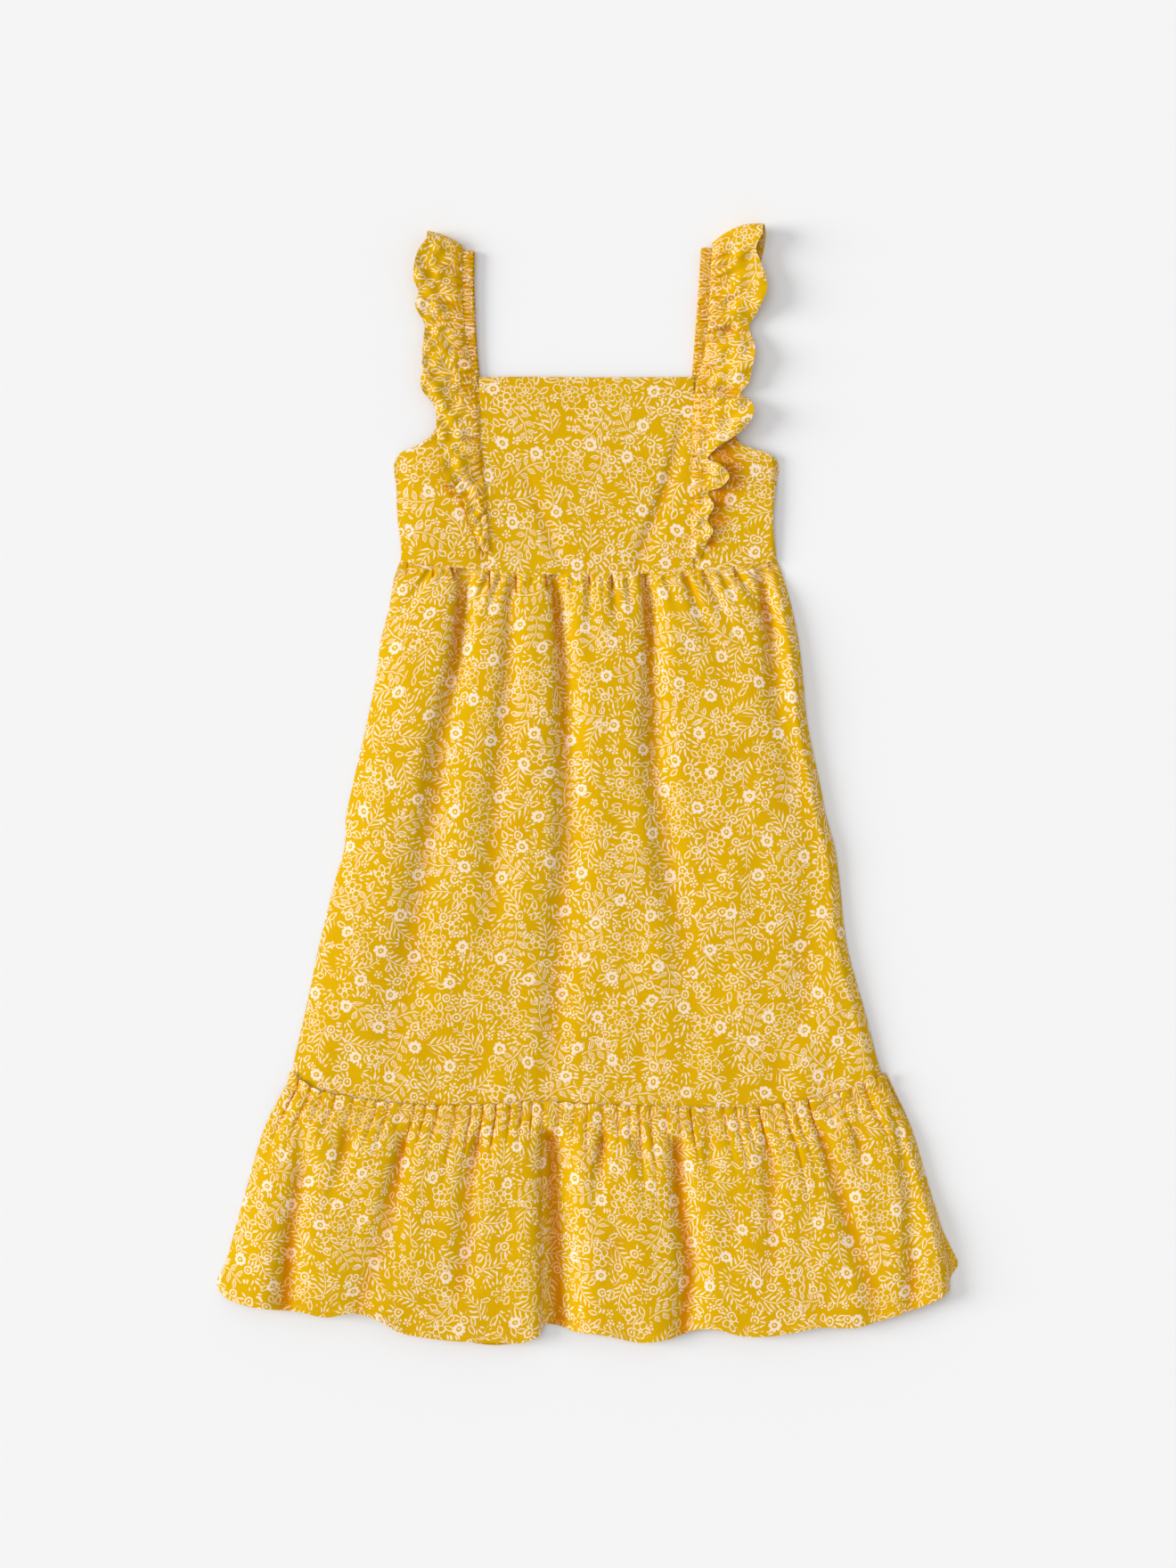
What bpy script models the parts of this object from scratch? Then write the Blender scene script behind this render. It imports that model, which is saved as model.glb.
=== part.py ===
"""A girl's sundress laid flat, front upwards, on a level surface.

The dress lies along Y with its straps towards +Y, and its underside rests on Z = 0.
The origin is under the middle of the dress. "Left" is the -X side and "right" the +X side.
Tables are in millimetres, each with its columns named, and every other length is in metres.
"""

import math

import bmesh
import bpy
import numpy as np

MM = 0.001

# ---------------------------------------------------------------- cloth and seams

BACK_WALL = 1.0 * MM
FRONT_WALL = 1.4 * MM
RUFFLE_WALL = 1.1 * MM
STRAP_WALL = 1.2 * MM
SEAM_GAP = 0.3 * MM
LAYER_GAP = 0.35 * MM

# The lowest that the upper face of a front panel lies, clear of the back panel below it,
FRONT_FLOOR = BACK_WALL + LAYER_GAP + FRONT_WALL
# and the same where the skirt's back edge lies on the heading of the back flounce.
SEAM_FLOOR = 2 * (BACK_WALL + LAYER_GAP) + FRONT_WALL

# How far in from its left and its right side edge the front rises to its full height.
SIDE_ROUNDING = (45 * MM, 26 * MM)
BODICE_ROUNDING = (30 * MM, 10 * MM)
BODICE_EDGE = 134 * MM
ROUNDNESS = 2.2

# The back panels are narrower than the front by BACK_INSET at half the skirt's mean width.
BACK_INSET = 1.2 * MM
HALF_SKIRT = 150 * MM

MUSTARD = (0.76, 0.47, 0.03, 1.0)
CLOTH_ROUGHNESS = 0.85

# ---------------------------------------------------------------- bodice: x, y

NECKLINE = ((-77.5, 287.3), (-40, 287.6), (0, 287.2), (40, 287.2), (74.6, 287.5))
SEAM_LEFT = ((-77.5, 287.3), (-75.2, 240), (-73.2, 215), (-70.6, 183), (-70.4, 150.6))
SEAM_RIGHT = ((74.6, 287.5), (74.4, 240), (74.3, 200), (74.3, 150.6))
ARMHOLE_LEFT = (
    (-90, 287),
    (-94, 272),
    (-101, 258),
    (-107.1, 251),
    (-111, 245.8),
    (-119, 240),
    (-127, 236.2),
    (-133.4, 233.2),
    (-136.4, 228),
)
ARMHOLE_RIGHT = (
    (88, 287),
    (92, 272),
    (98, 257),
    (103, 247.6),
    (107.2, 240.8),
    (116.5, 236.6),
    (126.6, 233.2),
    (132, 230),
    (134.2, 226),
)
SIDE_LEFT = ((-136.4, 228), (-135.4, 210), (-134.6, 189), (-133.2, 176), (-132.0, 165), (-132.4, 157))
SIDE_RIGHT = ((134.2, 226), (132.9, 212), (130.6, 189), (131, 176), (132.4, 165), (133.4, 157))
WAIST_LEFT = ((-132.4, 157.0), (-100, 153.4), (-70.4, 150.6))
WAIST_MIDDLE = ((-70.4, 150.6), (-35, 148.4), (0, 147.8), (35, 148.4), (74.3, 150.6))
WAIST_RIGHT = ((74.3, 150.6), (100, 153.2), (133.4, 157.0))
WAIST = WAIST_LEFT + WAIST_MIDDLE[1:] + WAIST_RIGHT[1:]
BACK_NECK_Y = 231
BACK_NECK_LEFT = (-133.6, BACK_NECK_Y)
BACK_NECK_RIGHT = (129.8, BACK_NECK_Y)

# ---------------------------------------------------------------- skirt and flounce: x, y

SKIRT_LEFT = (
    (-132.4, 157),
    (-137, 145),
    (-140.2, 126),
    (-146.4, 101),
    (-149.6, 76),
    (-154.8, 50),
    (-166, 0),
    (-171, -24),
    (-171.8, -44),
    (-177.2, -63),
    (-189.6, -113),
    (-200.4, -164),
    (-206.8, -192),
    (-211.4, -215),
)
SKIRT_RIGHT = (
    (133.4, 157),
    (138.2, 145),
    (143.6, 126),
    (148.7, 101),
    (151.8, 76),
    (154, 50),
    (163.8, 0),
    (168.8, -25),
    (174.2, -44),
    (177, -63),
    (182.7, -113),
    (196.4, -164),
    (203.4, -192),
    (210.6, -216),
)
FRILL = (
    (-210.4, -203),
    (-191.5, -215.2),
    (-168.8, -220.2),
    (-138.6, -224.6),
    (-100.8, -226.4),
    (-63, -225.1),
    (-34.7, -223.3),
    (-6.3, -225.1),
    (23.9, -226.4),
    (86.9, -228.3),
    (115.3, -227.6),
    (142.4, -223.9),
    (180.8, -216.3),
    (201.6, -207.6),
    (210.4, -204),
)
FLOUNCE_LEFT = (
    (-210.4, -203),
    (-211.6, -209),
    (-217.4, -220.5),
    (-227.2, -239.4),
    (-235.4, -264.6),
    (-242.4, -289.8),
    (-249.4, -315),
    (-257, -340.2),
    (-262.2, -352.4),
    (-261.4, -357.4),
)
FLOUNCE_RIGHT = (
    (210.4, -204),
    (211.8, -210),
    (216.6, -220.5),
    (227, -239.4),
    (235.2, -264.6),
    (242.4, -289.8),
    (250, -315),
    (254.6, -338),
    (256, -356.4),
)
HEM = (
    (-261.4, -357.4),
    (-254, -363.4),
    (-239, -368),
    (-201, -372.2),
    (-186, -375.4),
    (-163.2, -373),
    (-148.2, -377.4),
    (-133, -386),
    (-110.4, -390.4),
    (-65.2, -393),
    (-42.6, -392.4),
    (-35.6, -388.6),
    (-31.6, -381.8),
    (-22, -382.6),
    (-10, -385.8),
    (10, -388),
    (40.2, -393.4),
    (62.8, -389.2),
    (77.8, -384.2),
    (92.8, -384.8),
    (108, -388.6),
    (123, -389.2),
    (145.6, -386.2),
    (160.6, -383),
    (190.6, -382.4),
    (205.8, -378),
    (221, -373),
    (236, -367.6),
    (251, -360.6),
    (256, -356.4),
)
# The back of the flounce reaches past the front at its right-hand corner.
BACK_FLOUNCE_RIGHT = (
    (210.4, -204),
    (227, -239.4),
    (242, -289.8),
    (250.4, -315),
    (256.6, -328),
    (261.4, -340),
    (257, -347),
    (254.6, -354),
)

HEADING_DEPTH = 8 * MM
SKIRT_TUCK = 12
FLOUNCE_GATHERS = 40
# Each gather is twice GATHER_HEIGHT high, a share HELD_HEIGHT of it where it is stitched down.
GATHER_HEIGHT = 0.9 * MM
HELD_HEIGHT = 0.2
STITCH_RELEASE = 5 * MM
GATHER_RUN = 33 * MM
# amount, rate and shift of a sine along the seam that makes the gathers' length, places or height uneven
GATHER_RUN_CHANGE = (15 * MM, 39, 0.4)
GATHER_WANDER = ((1.1, 31, 0.6), (0.7, 73, 2.0))
GATHER_UNEVENNESS = (0.28, 47, 1.0)
# The frill above the stitches stands up from the skirt, and the cloth below falls off the skirt's edge.
HEADING_CLEARANCE = 0.5 * MM
FRILL_LIFT = 0.8 * MM
FLOUNCE_FALL = 16 * MM

# ---------------------------------------------------------------- heights: y, height of the upper face

BODICE_LOFT = ((290, 4.0), (250, 5.4), (200, 5.8), (165, 4.4), (147, 3.8))
SKIRT_LOFT = (
    (160, 3.6),
    (148, 4.2),
    (135, 8.4),
    (100, 10.8),
    (40, 11.4),
    (-60, 10.6),
    (-150, 8.8),
    (-215, 7.0),
    (-245, 6.4),
)
FLOUNCE_LOFT = ((-200, 7.4), (-235, 8.4), (-255, 9.8), (-300, 11.2), (-350, 11.8), (-396, 11.2))

# ---------------------------------------------------------------- troughs down the cloth
# y, x where the left flank is steepest, depth, reach of the left flank, reach of the right flank

BODICE_TROUGHS = (
    (
        (256, 65.0, 0.8, 4, 5),
        (230, 57.5, 2.0, 4, 6),
        (206, 50.5, 2.4, 4.5, 7),
        (168, 36.0, 2.0, 5, 8),
        (152, 31.0, 1.0, 6, 8),
    ),
    (
        (224, -48.5, 0.3, 4, 6),
        (196, -38.0, 1.1, 5, 7),
        (168, -27.1, 1.2, 5, 8),
        (152, -22.0, 0.6, 6, 8),
    ),
)
SKIRT_TROUGHS = (
    (
        (148, -92.6, 5, 4.5, 7),
        (130, -94.0, 9, 5.5, 9),
        (88, -98.9, 8, 6.5, 12),
        (25, -112.5, 6, 11, 15),
        (-67, -123.6, 4.2, 13, 17),
        (-130, -137.7, 2.6, 14, 18),
        (-172, -145.0, 0.6, 14, 18),
    ),
    (
        (142, -56.5, 1.8, 4, 6),
        (84, -61.1, 3.6, 7, 10),
        (25, -67.9, 3.6, 11, 13),
        (-59, -74.7, 2.6, 12, 15),
        (-122, -77.5, 0.8, 12, 15),
    ),
    (
        (145, -27.6, 5, 4.5, 6),
        (130, -26.4, 8.6, 5.5, 8),
        (88, -23.3, 7, 7, 10),
        (25, -22.3, 5.8, 10, 13),
        (-38, -22.8, 4.8, 11, 14),
        (-101, -26.7, 3.8, 12, 15),
        (-164, -30.6, 2.6, 13, 15),
        (-219, -35.9, 1, 10, 12),
    ),
    (
        (145, 37.0, 4.5, 4.5, 6),
        (130, 38.0, 8, 5.5, 8),
        (101, 39.2, 7.4, 7, 10),
        (25, 38.7, 5.6, 11, 13),
        (-59, 47.5, 3.6, 13, 15),
        (-109, 57.6, 2, 14, 16),
        (-151, 58.6, 0.6, 14, 16),
    ),
    (
        (147, 118.7, 4, 4.5, 6),
        (130, 121.0, 7, 5.5, 7),
        (101, 124.1, 5.5, 7, 8),
        (59, 127.9, 3, 10, 10),
        (-4, 140.5, 2, 15, 14),
        (-67, 153.1, 2.2, 16, 14),
        (-122, 143.0, 2.2, 16, 14),
        (-172, 138.6, 1.4, 16, 14),
    ),
)
FLOUNCE_TROUGHS = (
    (
        (-222, -206.0, 1.2, 5, 6),
        (-250, -206.5, 3, 7, 8),
        (-277, -208.4, 4.6, 10, 11),
        (-328, -217.1, 5.6, 12, 12),
        (-365, -221.5, 4.4, 12, 12),
    ),
    (
        (-230, -168.6, 1.2, 5, 6),
        (-250, -173.6, 2.2, 6, 7),
        (-277, -180.8, 2, 7, 8),
        (-307, -190.9, 0.6, 8, 9),
    ),
    (
        (-235, -131.5, 1.4, 4, 6),
        (-250, -134.0, 3, 5, 8),
        (-277, -140.5, 2.8, 7, 10),
        (-319, -153.1, 2.2, 10, 13),
        (-374, -168.2, 1.6, 12, 14),
    ),
    (
        (-237, -78.5, 1.4, 4, 6),
        (-250, -81.5, 2.8, 5, 8),
        (-285, -90.1, 2.2, 8, 11),
        (-353, -96.4, 1.2, 11, 13),
    ),
    (
        (-233, -32.0, 2.2, 5, 7),
        (-250, -34.0, 7.4, 7, 9),
        (-311, -34.5, 9, 8, 11),
        (-382, -34.0, 9, 8, 12),
    ),
    (
        (-240, -24.0, 1.5, 7, 8),
        (-262, -23.0, 5.6, 8, 10),
        (-311, -22.0, 7, 8, 11),
        (-382, -21.0, 7, 9, 12),
    ),
    ((-236, 10.0, 1.4, 4, 5), (-250, 7.7, 3, 5, 6), (-277, 1.9, 2.6, 6, 8), (-311, 1.9, 0.6, 6, 8)),
    ((-238, 30.6, 1.2, 4, 5), (-252, 31.5, 2.4, 5, 6), (-277, 34.7, 1.2, 6, 7), (-295, 35.5, 0.4, 6, 7)),
    (
        (-238, 58.6, 1.4, 4, 6),
        (-252, 58.6, 4.8, 6, 8),
        (-290, 58.6, 5, 9, 11),
        (-345, 63.9, 4.8, 12, 13),
        (-391, 60.1, 4.6, 12, 13),
    ),
    ((-240, 80.6, 0.8, 4, 5), (-260, 81.9, 2, 5, 6), (-284, 83.0, 0.5, 6, 7)),
    (
        (-238, 120.4, 0.8, 4, 5),
        (-252, 121.6, 2.2, 5, 7),
        (-285, 124.1, 1.6, 7, 9),
        (-330, 126.0, 0.6, 8, 10),
    ),
    (
        (-232, 157.0, 0.8, 4, 6),
        (-248, 161.9, 2.2, 6, 8),
        (-290, 172.0, 2.4, 8, 10),
        (-323, 182.7, 2.4, 9, 11),
        (-353, 190.9, 2, 9, 11),
        (-380, 196.0, 1.6, 9, 11),
    ),
    ((-230, 184.0, 0.8, 4, 5), (-252, 187.1, 2, 5, 6), (-275, 189.0, 0.5, 6, 7)),
    (
        (-222, 210.0, 0.8, 4, 5),
        (-244, 216.1, 2.8, 5, 7),
        (-290, 222.4, 3.2, 7, 9),
        (-345, 222.4, 2.8, 8, 9),
        (-370, 223.0, 2.2, 8, 9),
    ),
)
TROUGH_RUN_IN = 10 * MM
TROUGH_RUN_OUT = 14 * MM

# ---------------------------------------------------------------- creases from the waist gathers
# x, length, depth

WAIST_GATHERS = (
    (-126.6, 34, 2.0),
    (-109.6, 50, 2.4),
    (-79.5, 22, 1.4),
    (-69.3, 30, 2.2),
    (-60.5, 38, 2.0),
    (-49.8, 26, 2.2),
    (-38.5, 20, 1.5),
    (-10.5, 24, 1.7),
    (1.0, 44, 2.5),
    (17.0, 36, 2.4),
    (27.5, 18, 1.4),
    (54.0, 24, 1.7),
    (67.4, 52, 2.4),
    (81.3, 40, 2.2),
    (92.5, 22, 1.5),
    (103.3, 46, 2.3),
    (128.6, 26, 1.8),
)
GATHER_REACH = 3.4 * MM
GATHER_SPREAD = 180 * MM
GATHER_WIDENING = 60 * MM
GATHER_RUN_IN = 7 * MM
# How much higher the waist seam is at its sides, WAIST_HALF from the middle.
WAIST_SAG = 9.4 * MM
WAIST_HALF = 133 * MM
# Places in Y between which the skirt sinks from the heading of the back flounce: front and back.
FRONT_STEP = (-184 * MM, -150 * MM)
BACK_STEP = (-196 * MM, -170 * MM)

# ---------------------------------------------------------------- straps: y, x of the edge at the neck

STRAP_EDGE_LEFT = ((376, -80), (355, -80.6), (325, -79.4), (302, -78.1), (287.9, -76.6))
STRAP_EDGE_RIGHT = ((378, 80), (355, 78.4), (325, 76.2), (302, 74.6), (287.9, 73.4))
# y, height of the middle of the strap's front half
STRAP_RISE = ((288, 3.4), (310, 3.7), (350, 4.6), (378, 5.0))
STRAP_WIDTH = 9.5 * MM
STRAP_RIBS = 18
RIB_HEIGHT = 0.35 * MM
SHOULDER_RADIUS = 2.2 * MM
BACK_STRAP_LAP = 9 * MM
# How far above the back neck a strap starts and ends its step up onto the back of the bodice.
STRAP_STEP = (3 * MM, 14 * MM)

# ---------------------------------------------------------------- ruffles
# y, x of the line where each is sewn in

RUFFLE_SEAM_LEFT = (
    (382, -89.9),
    (355, -90.5),
    (330, -89.6),
    (310, -87.0),
    (296, -83.2),
    (284, -79.4),
    (268, -77.0),
    (238, -75.6),
    (215, -73.4),
    (183, -70.9),
    (165, -70.8),
)
RUFFLE_SEAM_RIGHT = (
    (384, 89.9),
    (355, 88.6),
    (330, 87.2),
    (312, 85.6),
    (296, 83.2),
    (277, 79.6),
    (254, 77.8),
    (225, 76.6),
    (207, 75.2),
    (185, 74.6),
    (158, 75.0),
)
# y where the ruffle leaves its seam, x and y of its free edge, height of the free edge above the seam
RUFFLE_EDGE_LEFT = (
    (378, -113.0, 385.0, 6.0),
    (362, -120.4, 373.6, 5.0),
    (352, -123.0, 356.4, 5.0),
    (343, -119.6, 347.0, 1.6),
    (333, -121.8, 337.6, 4.6),
    (322, -115.6, 325.0, 1.6),
    (308, -116.6, 309.0, 4.4),
    (297, -116.8, 295.0, 3.0),
    (284, -117.4, 279.0, 5.4),
    (272, -108.0, 266.0, 1.8),
    (258, -106.8, 252.0, 3.8),
    (244, -105.6, 238.0, 3.6),
    (232, -103.0, 223.0, 5.4),
    (222, -98.0, 209.0, 4.6),
    (213, -88.4, 202.5, 1.4),
    (200, -86.3, 192.0, 3.4),
    (188, -81.6, 180.0, 1.6),
    (176, -76.8, 169.0, 2.2),
    (165, -73.2, 163.0, 1.2),
)
RUFFLE_EDGE_RIGHT = (
    (380, 124.8, 386.0, 11.0),
    (369, 125.2, 376.0, 10.0),
    (358, 123.0, 366.0, 5.0),
    (346, 126.2, 350.0, 8.0),
    (332, 119.6, 333.0, 6.0),
    (321, 113.8, 323.0, 1.8),
    (308, 117.4, 308.6, 7.0),
    (296, 115.6, 292.6, 8.0),
    (287, 112.6, 282.0, 6.4),
    (279, 107.6, 275.4, 1.8),
    (270, 114.6, 270.4, 7.4),
    (261, 116.6, 261.0, 9.0),
    (253, 110.4, 250.4, 9.0),
    (245, 100.6, 243.0, 7.0),
    (237, 89.6, 235.6, 3.6),
    (230, 84.4, 229.4, 1.4),
    (225, 93.4, 225.0, 5.6),
    (220, 99.4, 217.0, 6.6),
    (213, 94.4, 209.4, 5.0),
    (206, 84.8, 205.4, 1.4),
    (199, 88.6, 196.6, 4.6),
    (187, 84.6, 185.6, 2.4),
    (180, 88.0, 178.6, 4.4),
    (172, 84.6, 171.4, 2.4),
    (160, 79.2, 158.4, 1.0),
)
# Shares of a ruffle's length that lie on the front, and that turn over the shoulder.
RUFFLE_FRONT = 0.60
RUFFLE_TURN = 0.05
RUFFLE_BOW_LEFT = 1.5 * MM
RUFFLE_BOW_RIGHT = 4.5 * MM
RUFFLE_BACK_WIDTH = 24 * MM
RUFFLE_BACK_TAPER = 0.45
RUFFLE_BOW_SHARE = 0.06
# A ruffle's cross-section rises from its seam as this power of the way across it.
RUFFLE_HOLLOW = 1.3
RUFFLE_CLEARANCE = 0.5 * MM
SHOULDER_WIDENING = 6 * MM
# Places in Y between which a ruffle passes from the bodice to its strap.
RUFFLE_STEP = (272 * MM, 286 * MM)


# ---------------------------------------------------------------- lines and patches


def smooth_line(table):
    """A smooth line through the table's rows, as a function of the share of its length, in metres."""
    rows = np.array(table, float) * MM
    steps = np.linalg.norm(np.diff(rows, axis=0), axis=1)
    places = np.concatenate([[0.0], np.cumsum(steps)]) / steps.sum()
    gaps = np.diff(places)[:, None]
    slopes = np.diff(rows, axis=0) / gaps
    tangents = np.empty_like(rows)
    tangents[0] = slopes[0]
    tangents[-1] = slopes[-1]
    tangents[1:-1] = (gaps[1:] * slopes[:-1] + gaps[:-1] * slopes[1:]) / (gaps[1:] + gaps[:-1])

    def at(share):
        share = np.clip(share, 0.0, 1.0)
        row = np.clip(np.searchsorted(places, share, side="right") - 1, 0, len(rows) - 2)
        gap = gaps[row]
        u = (share - places[row])[..., None] / gap
        start = (1 + 2 * u) * (1 - u) ** 2 * rows[row] + u * (1 - u) ** 2 * gap * tangents[row]
        end = u**2 * (3 - 2 * u) * rows[row + 1] - u**2 * (1 - u) * gap * tangents[row + 1]
        return start + end

    return at


def read_off(table, y, column=1):
    """The table's column at y, straight between its rows, whose first column is y."""
    rows = np.array(sorted(table), float) * MM
    return np.interp(y, rows[:, 0], rows[:, column])


def ease(low, high, value):
    """0 below low, 1 above high, and a smooth step between."""
    share = np.clip((value - low) / (high - low), 0.0, 1.0)
    return share * share * (3 - 2 * share)


def moved(table, x=0.0, y=0.0):
    """An outline shifted by x and y."""
    return tuple((point_x + x, point_y + y) for point_x, point_y in table)


def patch(top, bottom, left, right):
    """The flat patch between four border lines, as a function of across (0 left, 1 right) and down."""
    top_line, bottom_line, left_line, right_line = map(smooth_line, (top, bottom, left, right))

    def at(across, down):
        a, d = across[..., None], down[..., None]
        first, last = np.zeros_like(across), np.ones_like(across)
        between_ends = (1 - d) * top_line(across) + d * bottom_line(across)
        between_sides = (1 - a) * left_line(down) + a * right_line(down)
        top_straight = (1 - a) * top_line(first) + a * top_line(last)
        bottom_straight = (1 - a) * bottom_line(first) + a * bottom_line(last)
        return between_ends + between_sides - (1 - d) * top_straight - d * bottom_straight

    return at


# ---------------------------------------------------------------- walls


def strip(here, below):
    """Triangles between two rows of points, the second with as many quads as the first or half as many."""
    if len(here) == len(below):
        for i in range(len(here) - 1):
            yield (here[i], below[i], below[i + 1])
            yield (here[i], below[i + 1], here[i + 1])
        return
    for i in range(len(below) - 1):
        j = 2 * i
        yield (here[j], below[i], here[j + 1])
        yield (here[j + 1], below[i], below[i + 1])
        yield (here[j + 1], below[i + 1], here[j + 2])


def cloth_material(name):
    material = bpy.data.materials.new("printed_cotton_" + name)
    material.use_nodes = True
    shader = material.node_tree.nodes["Principled BSDF"]
    shader.inputs["Base Color"].default_value = MUSTARD
    shader.inputs["Roughness"].default_value = CLOTH_ROUGHNESS
    shader.inputs["Metallic"].default_value = 0.0
    return material


def wall(name, skin, downs, columns):
    """One closed wall of cloth as an object.

    skin(across, down) gives the points of the wall's upper and lower faces. downs are the places of
    the rows, and columns says how many quads each row has: as many as the row before, or half.
    """
    mesh = bmesh.new()
    upper_rows, lower_rows = [], []
    for down, count in zip(downs, columns):
        across = np.linspace(0.0, 1.0, count + 1)
        upper, lower = skin(across, np.full_like(across, down))
        upper_rows.append([mesh.verts.new(point) for point in upper])
        lower_rows.append([mesh.verts.new(point) for point in lower])
    for rows in (upper_rows, lower_rows):
        for here, below in zip(rows, rows[1:]):
            for corners in strip(here, below):
                mesh.faces.new(corners)
    rims = (
        (upper_rows[0], lower_rows[0]),
        (upper_rows[-1], lower_rows[-1]),
        ([row[0] for row in upper_rows], [row[0] for row in lower_rows]),
        ([row[-1] for row in upper_rows], [row[-1] for row in lower_rows]),
    )
    for upper, lower in rims:
        for corners in strip(upper, lower):
            mesh.faces.new(corners)
    bmesh.ops.recalc_face_normals(mesh, faces=mesh.faces)
    data = bpy.data.meshes.new(name)
    mesh.to_mesh(data)
    mesh.free()
    data.materials.append(cloth_material(name))
    piece = bpy.data.objects.new(name, data)
    bpy.context.scene.collection.objects.link(piece)
    return piece


def level_wall(flat, top, thickness):
    """Upper and lower points of a wall whose faces lie straight above each other."""
    upper = np.concatenate([flat, top[..., None]], axis=-1)
    lower = np.concatenate([flat, (top - thickness)[..., None]], axis=-1)
    return upper, lower


# ---------------------------------------------------------------- heights of the front


def trough_depth(troughs, x, y):
    """How far the troughs lower the cloth at x, y."""
    depth = np.zeros_like(x)
    for rows in troughs:
        left_reach = read_off(rows, y, 3)
        right_reach = read_off(rows, y, 4)
        offset = x - read_off(rows, y, 1) - left_reach / math.sqrt(2)
        reach = np.where(offset < 0, left_reach, right_reach)
        first, last = rows[0][0] * MM, rows[-1][0] * MM
        run_in = 1 - ease(first, first + TROUGH_RUN_IN, y)
        run_out = ease(last - TROUGH_RUN_OUT, last, y)
        depth += read_off(rows, y, 2) * run_in * run_out * np.exp(-((offset / reach) ** 2))
    return depth


def rounded(from_left, from_right, reaches):
    """0 at both side edges, rising like a soft fold to 1 over the left and the right reach."""
    left, right = (np.clip(near / reach, 0.0, 1.0) for near, reach in zip((from_left, from_right), reaches))
    return (1 - (1 - left) ** ROUNDNESS) * (1 - (1 - right) ** ROUNDNESS)


def side_rounding(across, width):
    """The rounding of a panel of the skirt or the flounce at its two side edges."""
    return rounded(across * width, (1 - across) * width, SIDE_ROUNDING)


def bodice_height(x, y):
    loft = read_off(BODICE_LOFT, y) - trough_depth(BODICE_TROUGHS, x, y)
    rounding = rounded(BODICE_EDGE + x, BODICE_EDGE - x, BODICE_ROUNDING)
    return FRONT_FLOOR + np.clip(loft - FRONT_FLOOR, 0.0, None) * rounding


def waist_creases(x, below_waist):
    """Depth of the short creases under the waist seam, which spread and fade as they run down."""
    depth = np.zeros_like(x)
    for crease_x, length, crease_depth in WAIST_GATHERS:
        offset = x / (1 + below_waist / GATHER_SPREAD) - crease_x * MM
        reach = GATHER_REACH * (1 + below_waist / GATHER_WIDENING)
        fade = ease(0.0, GATHER_RUN_IN, below_waist) * np.exp(-((below_waist / (length * MM)) ** 2))
        depth += crease_depth * MM * fade * np.exp(-((offset / reach) ** 2))
    return depth


def skirt_height(x, y, rounding):
    waist_y = WAIST_MIDDLE[2][1] * MM + WAIST_SAG * (x / WAIST_HALF) ** 2
    below_waist = np.clip(waist_y - y, 0.0, None)
    troughs = trough_depth(SKIRT_TROUGHS, x, y) + waist_creases(x, below_waist)
    loft = read_off(SKIRT_LOFT, y) - troughs
    floor = FRONT_FLOOR + (SEAM_FLOOR - FRONT_FLOOR) * (1 - ease(*FRONT_STEP, y))
    return floor + np.clip(loft - floor, 0.0, None) * rounding


def gather_wave(across):
    """One wave from -1 to 1 for each gather of the flounce, uneven in spacing and in height."""
    phase = 2 * math.pi * FLOUNCE_GATHERS * across
    for amount, rate, shift in GATHER_WANDER:
        phase = phase + amount * np.sin(rate * across + shift)
    amount, rate, shift = GATHER_UNEVENNESS
    return np.cos(phase) * (1 - amount + amount * np.sin(rate * across + shift))


def flounce_height(across, x, y, below_top, rounding):
    """The flounce lies on the skirt at its heading, is held flat at its stitching and swells below it."""
    tuck = SKIRT_TUCK * MM
    seat = skirt_height(x, y, rounding) + LAYER_GAP + FRONT_WALL + HEADING_CLEARANCE
    loft = read_off(FLOUNCE_LOFT, y) - trough_depth(FLOUNCE_TROUGHS, x, y)
    own = FRONT_FLOOR + np.clip(loft - FRONT_FLOOR, 0.0, None) * rounding
    on_skirt = 1 - ease(tuck + 1 * MM, tuck + FLOUNCE_FALL, below_top)
    past_stitches = np.clip(below_top - HEADING_DEPTH, 0.0, None)
    above_stitches = np.clip(1 - below_top / HEADING_DEPTH, 0.0, 1.0)
    amount, rate, shift = GATHER_RUN_CHANGE
    run = GATHER_RUN + amount * np.sin(rate * across + shift)
    free = np.maximum(above_stitches, ease(0.0, STITCH_RELEASE, past_stitches))
    held = HELD_HEIGHT + (1 - HELD_HEIGHT) * free
    gathers = GATHER_HEIGHT * (gather_wave(across) + 1) * held * np.exp(-((past_stitches / run) ** 2))
    return seat * on_skirt + own * (1 - on_skirt) + gathers + FRILL_LIFT * above_stitches


# ---------------------------------------------------------------- bodice


def build_bodice_front():
    def front_wall(name, shape, rows, quads):
        def skin(across, down):
            flat = shape(across, down)
            return level_wall(flat, bodice_height(flat[..., 0], flat[..., 1]), FRONT_WALL)

        wall(name, skin, np.linspace(0, 1, rows + 1), [quads] * (rows + 1))

    front_wall("bodice_front_center", patch(NECKLINE, WAIST_MIDDLE, SEAM_LEFT, SEAM_RIGHT), 10, 10)

    gap = SEAM_GAP / MM
    seam = moved(SEAM_LEFT, x=-gap)
    outer = ARMHOLE_LEFT + SIDE_LEFT[1:]
    waist = WAIST_LEFT[:-1] + (seam[-1],)
    front_wall("bodice_front_side_left", patch((outer[0], seam[0]), waist, outer, seam), 14, 6)

    seam = moved(SEAM_RIGHT, x=gap)
    outer = ARMHOLE_RIGHT + SIDE_RIGHT[1:]
    waist = (seam[-1],) + WAIST_RIGHT[1:]
    front_wall("bodice_front_side_right", patch((seam[0], outer[0]), waist, seam, outer), 14, 6)


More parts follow.
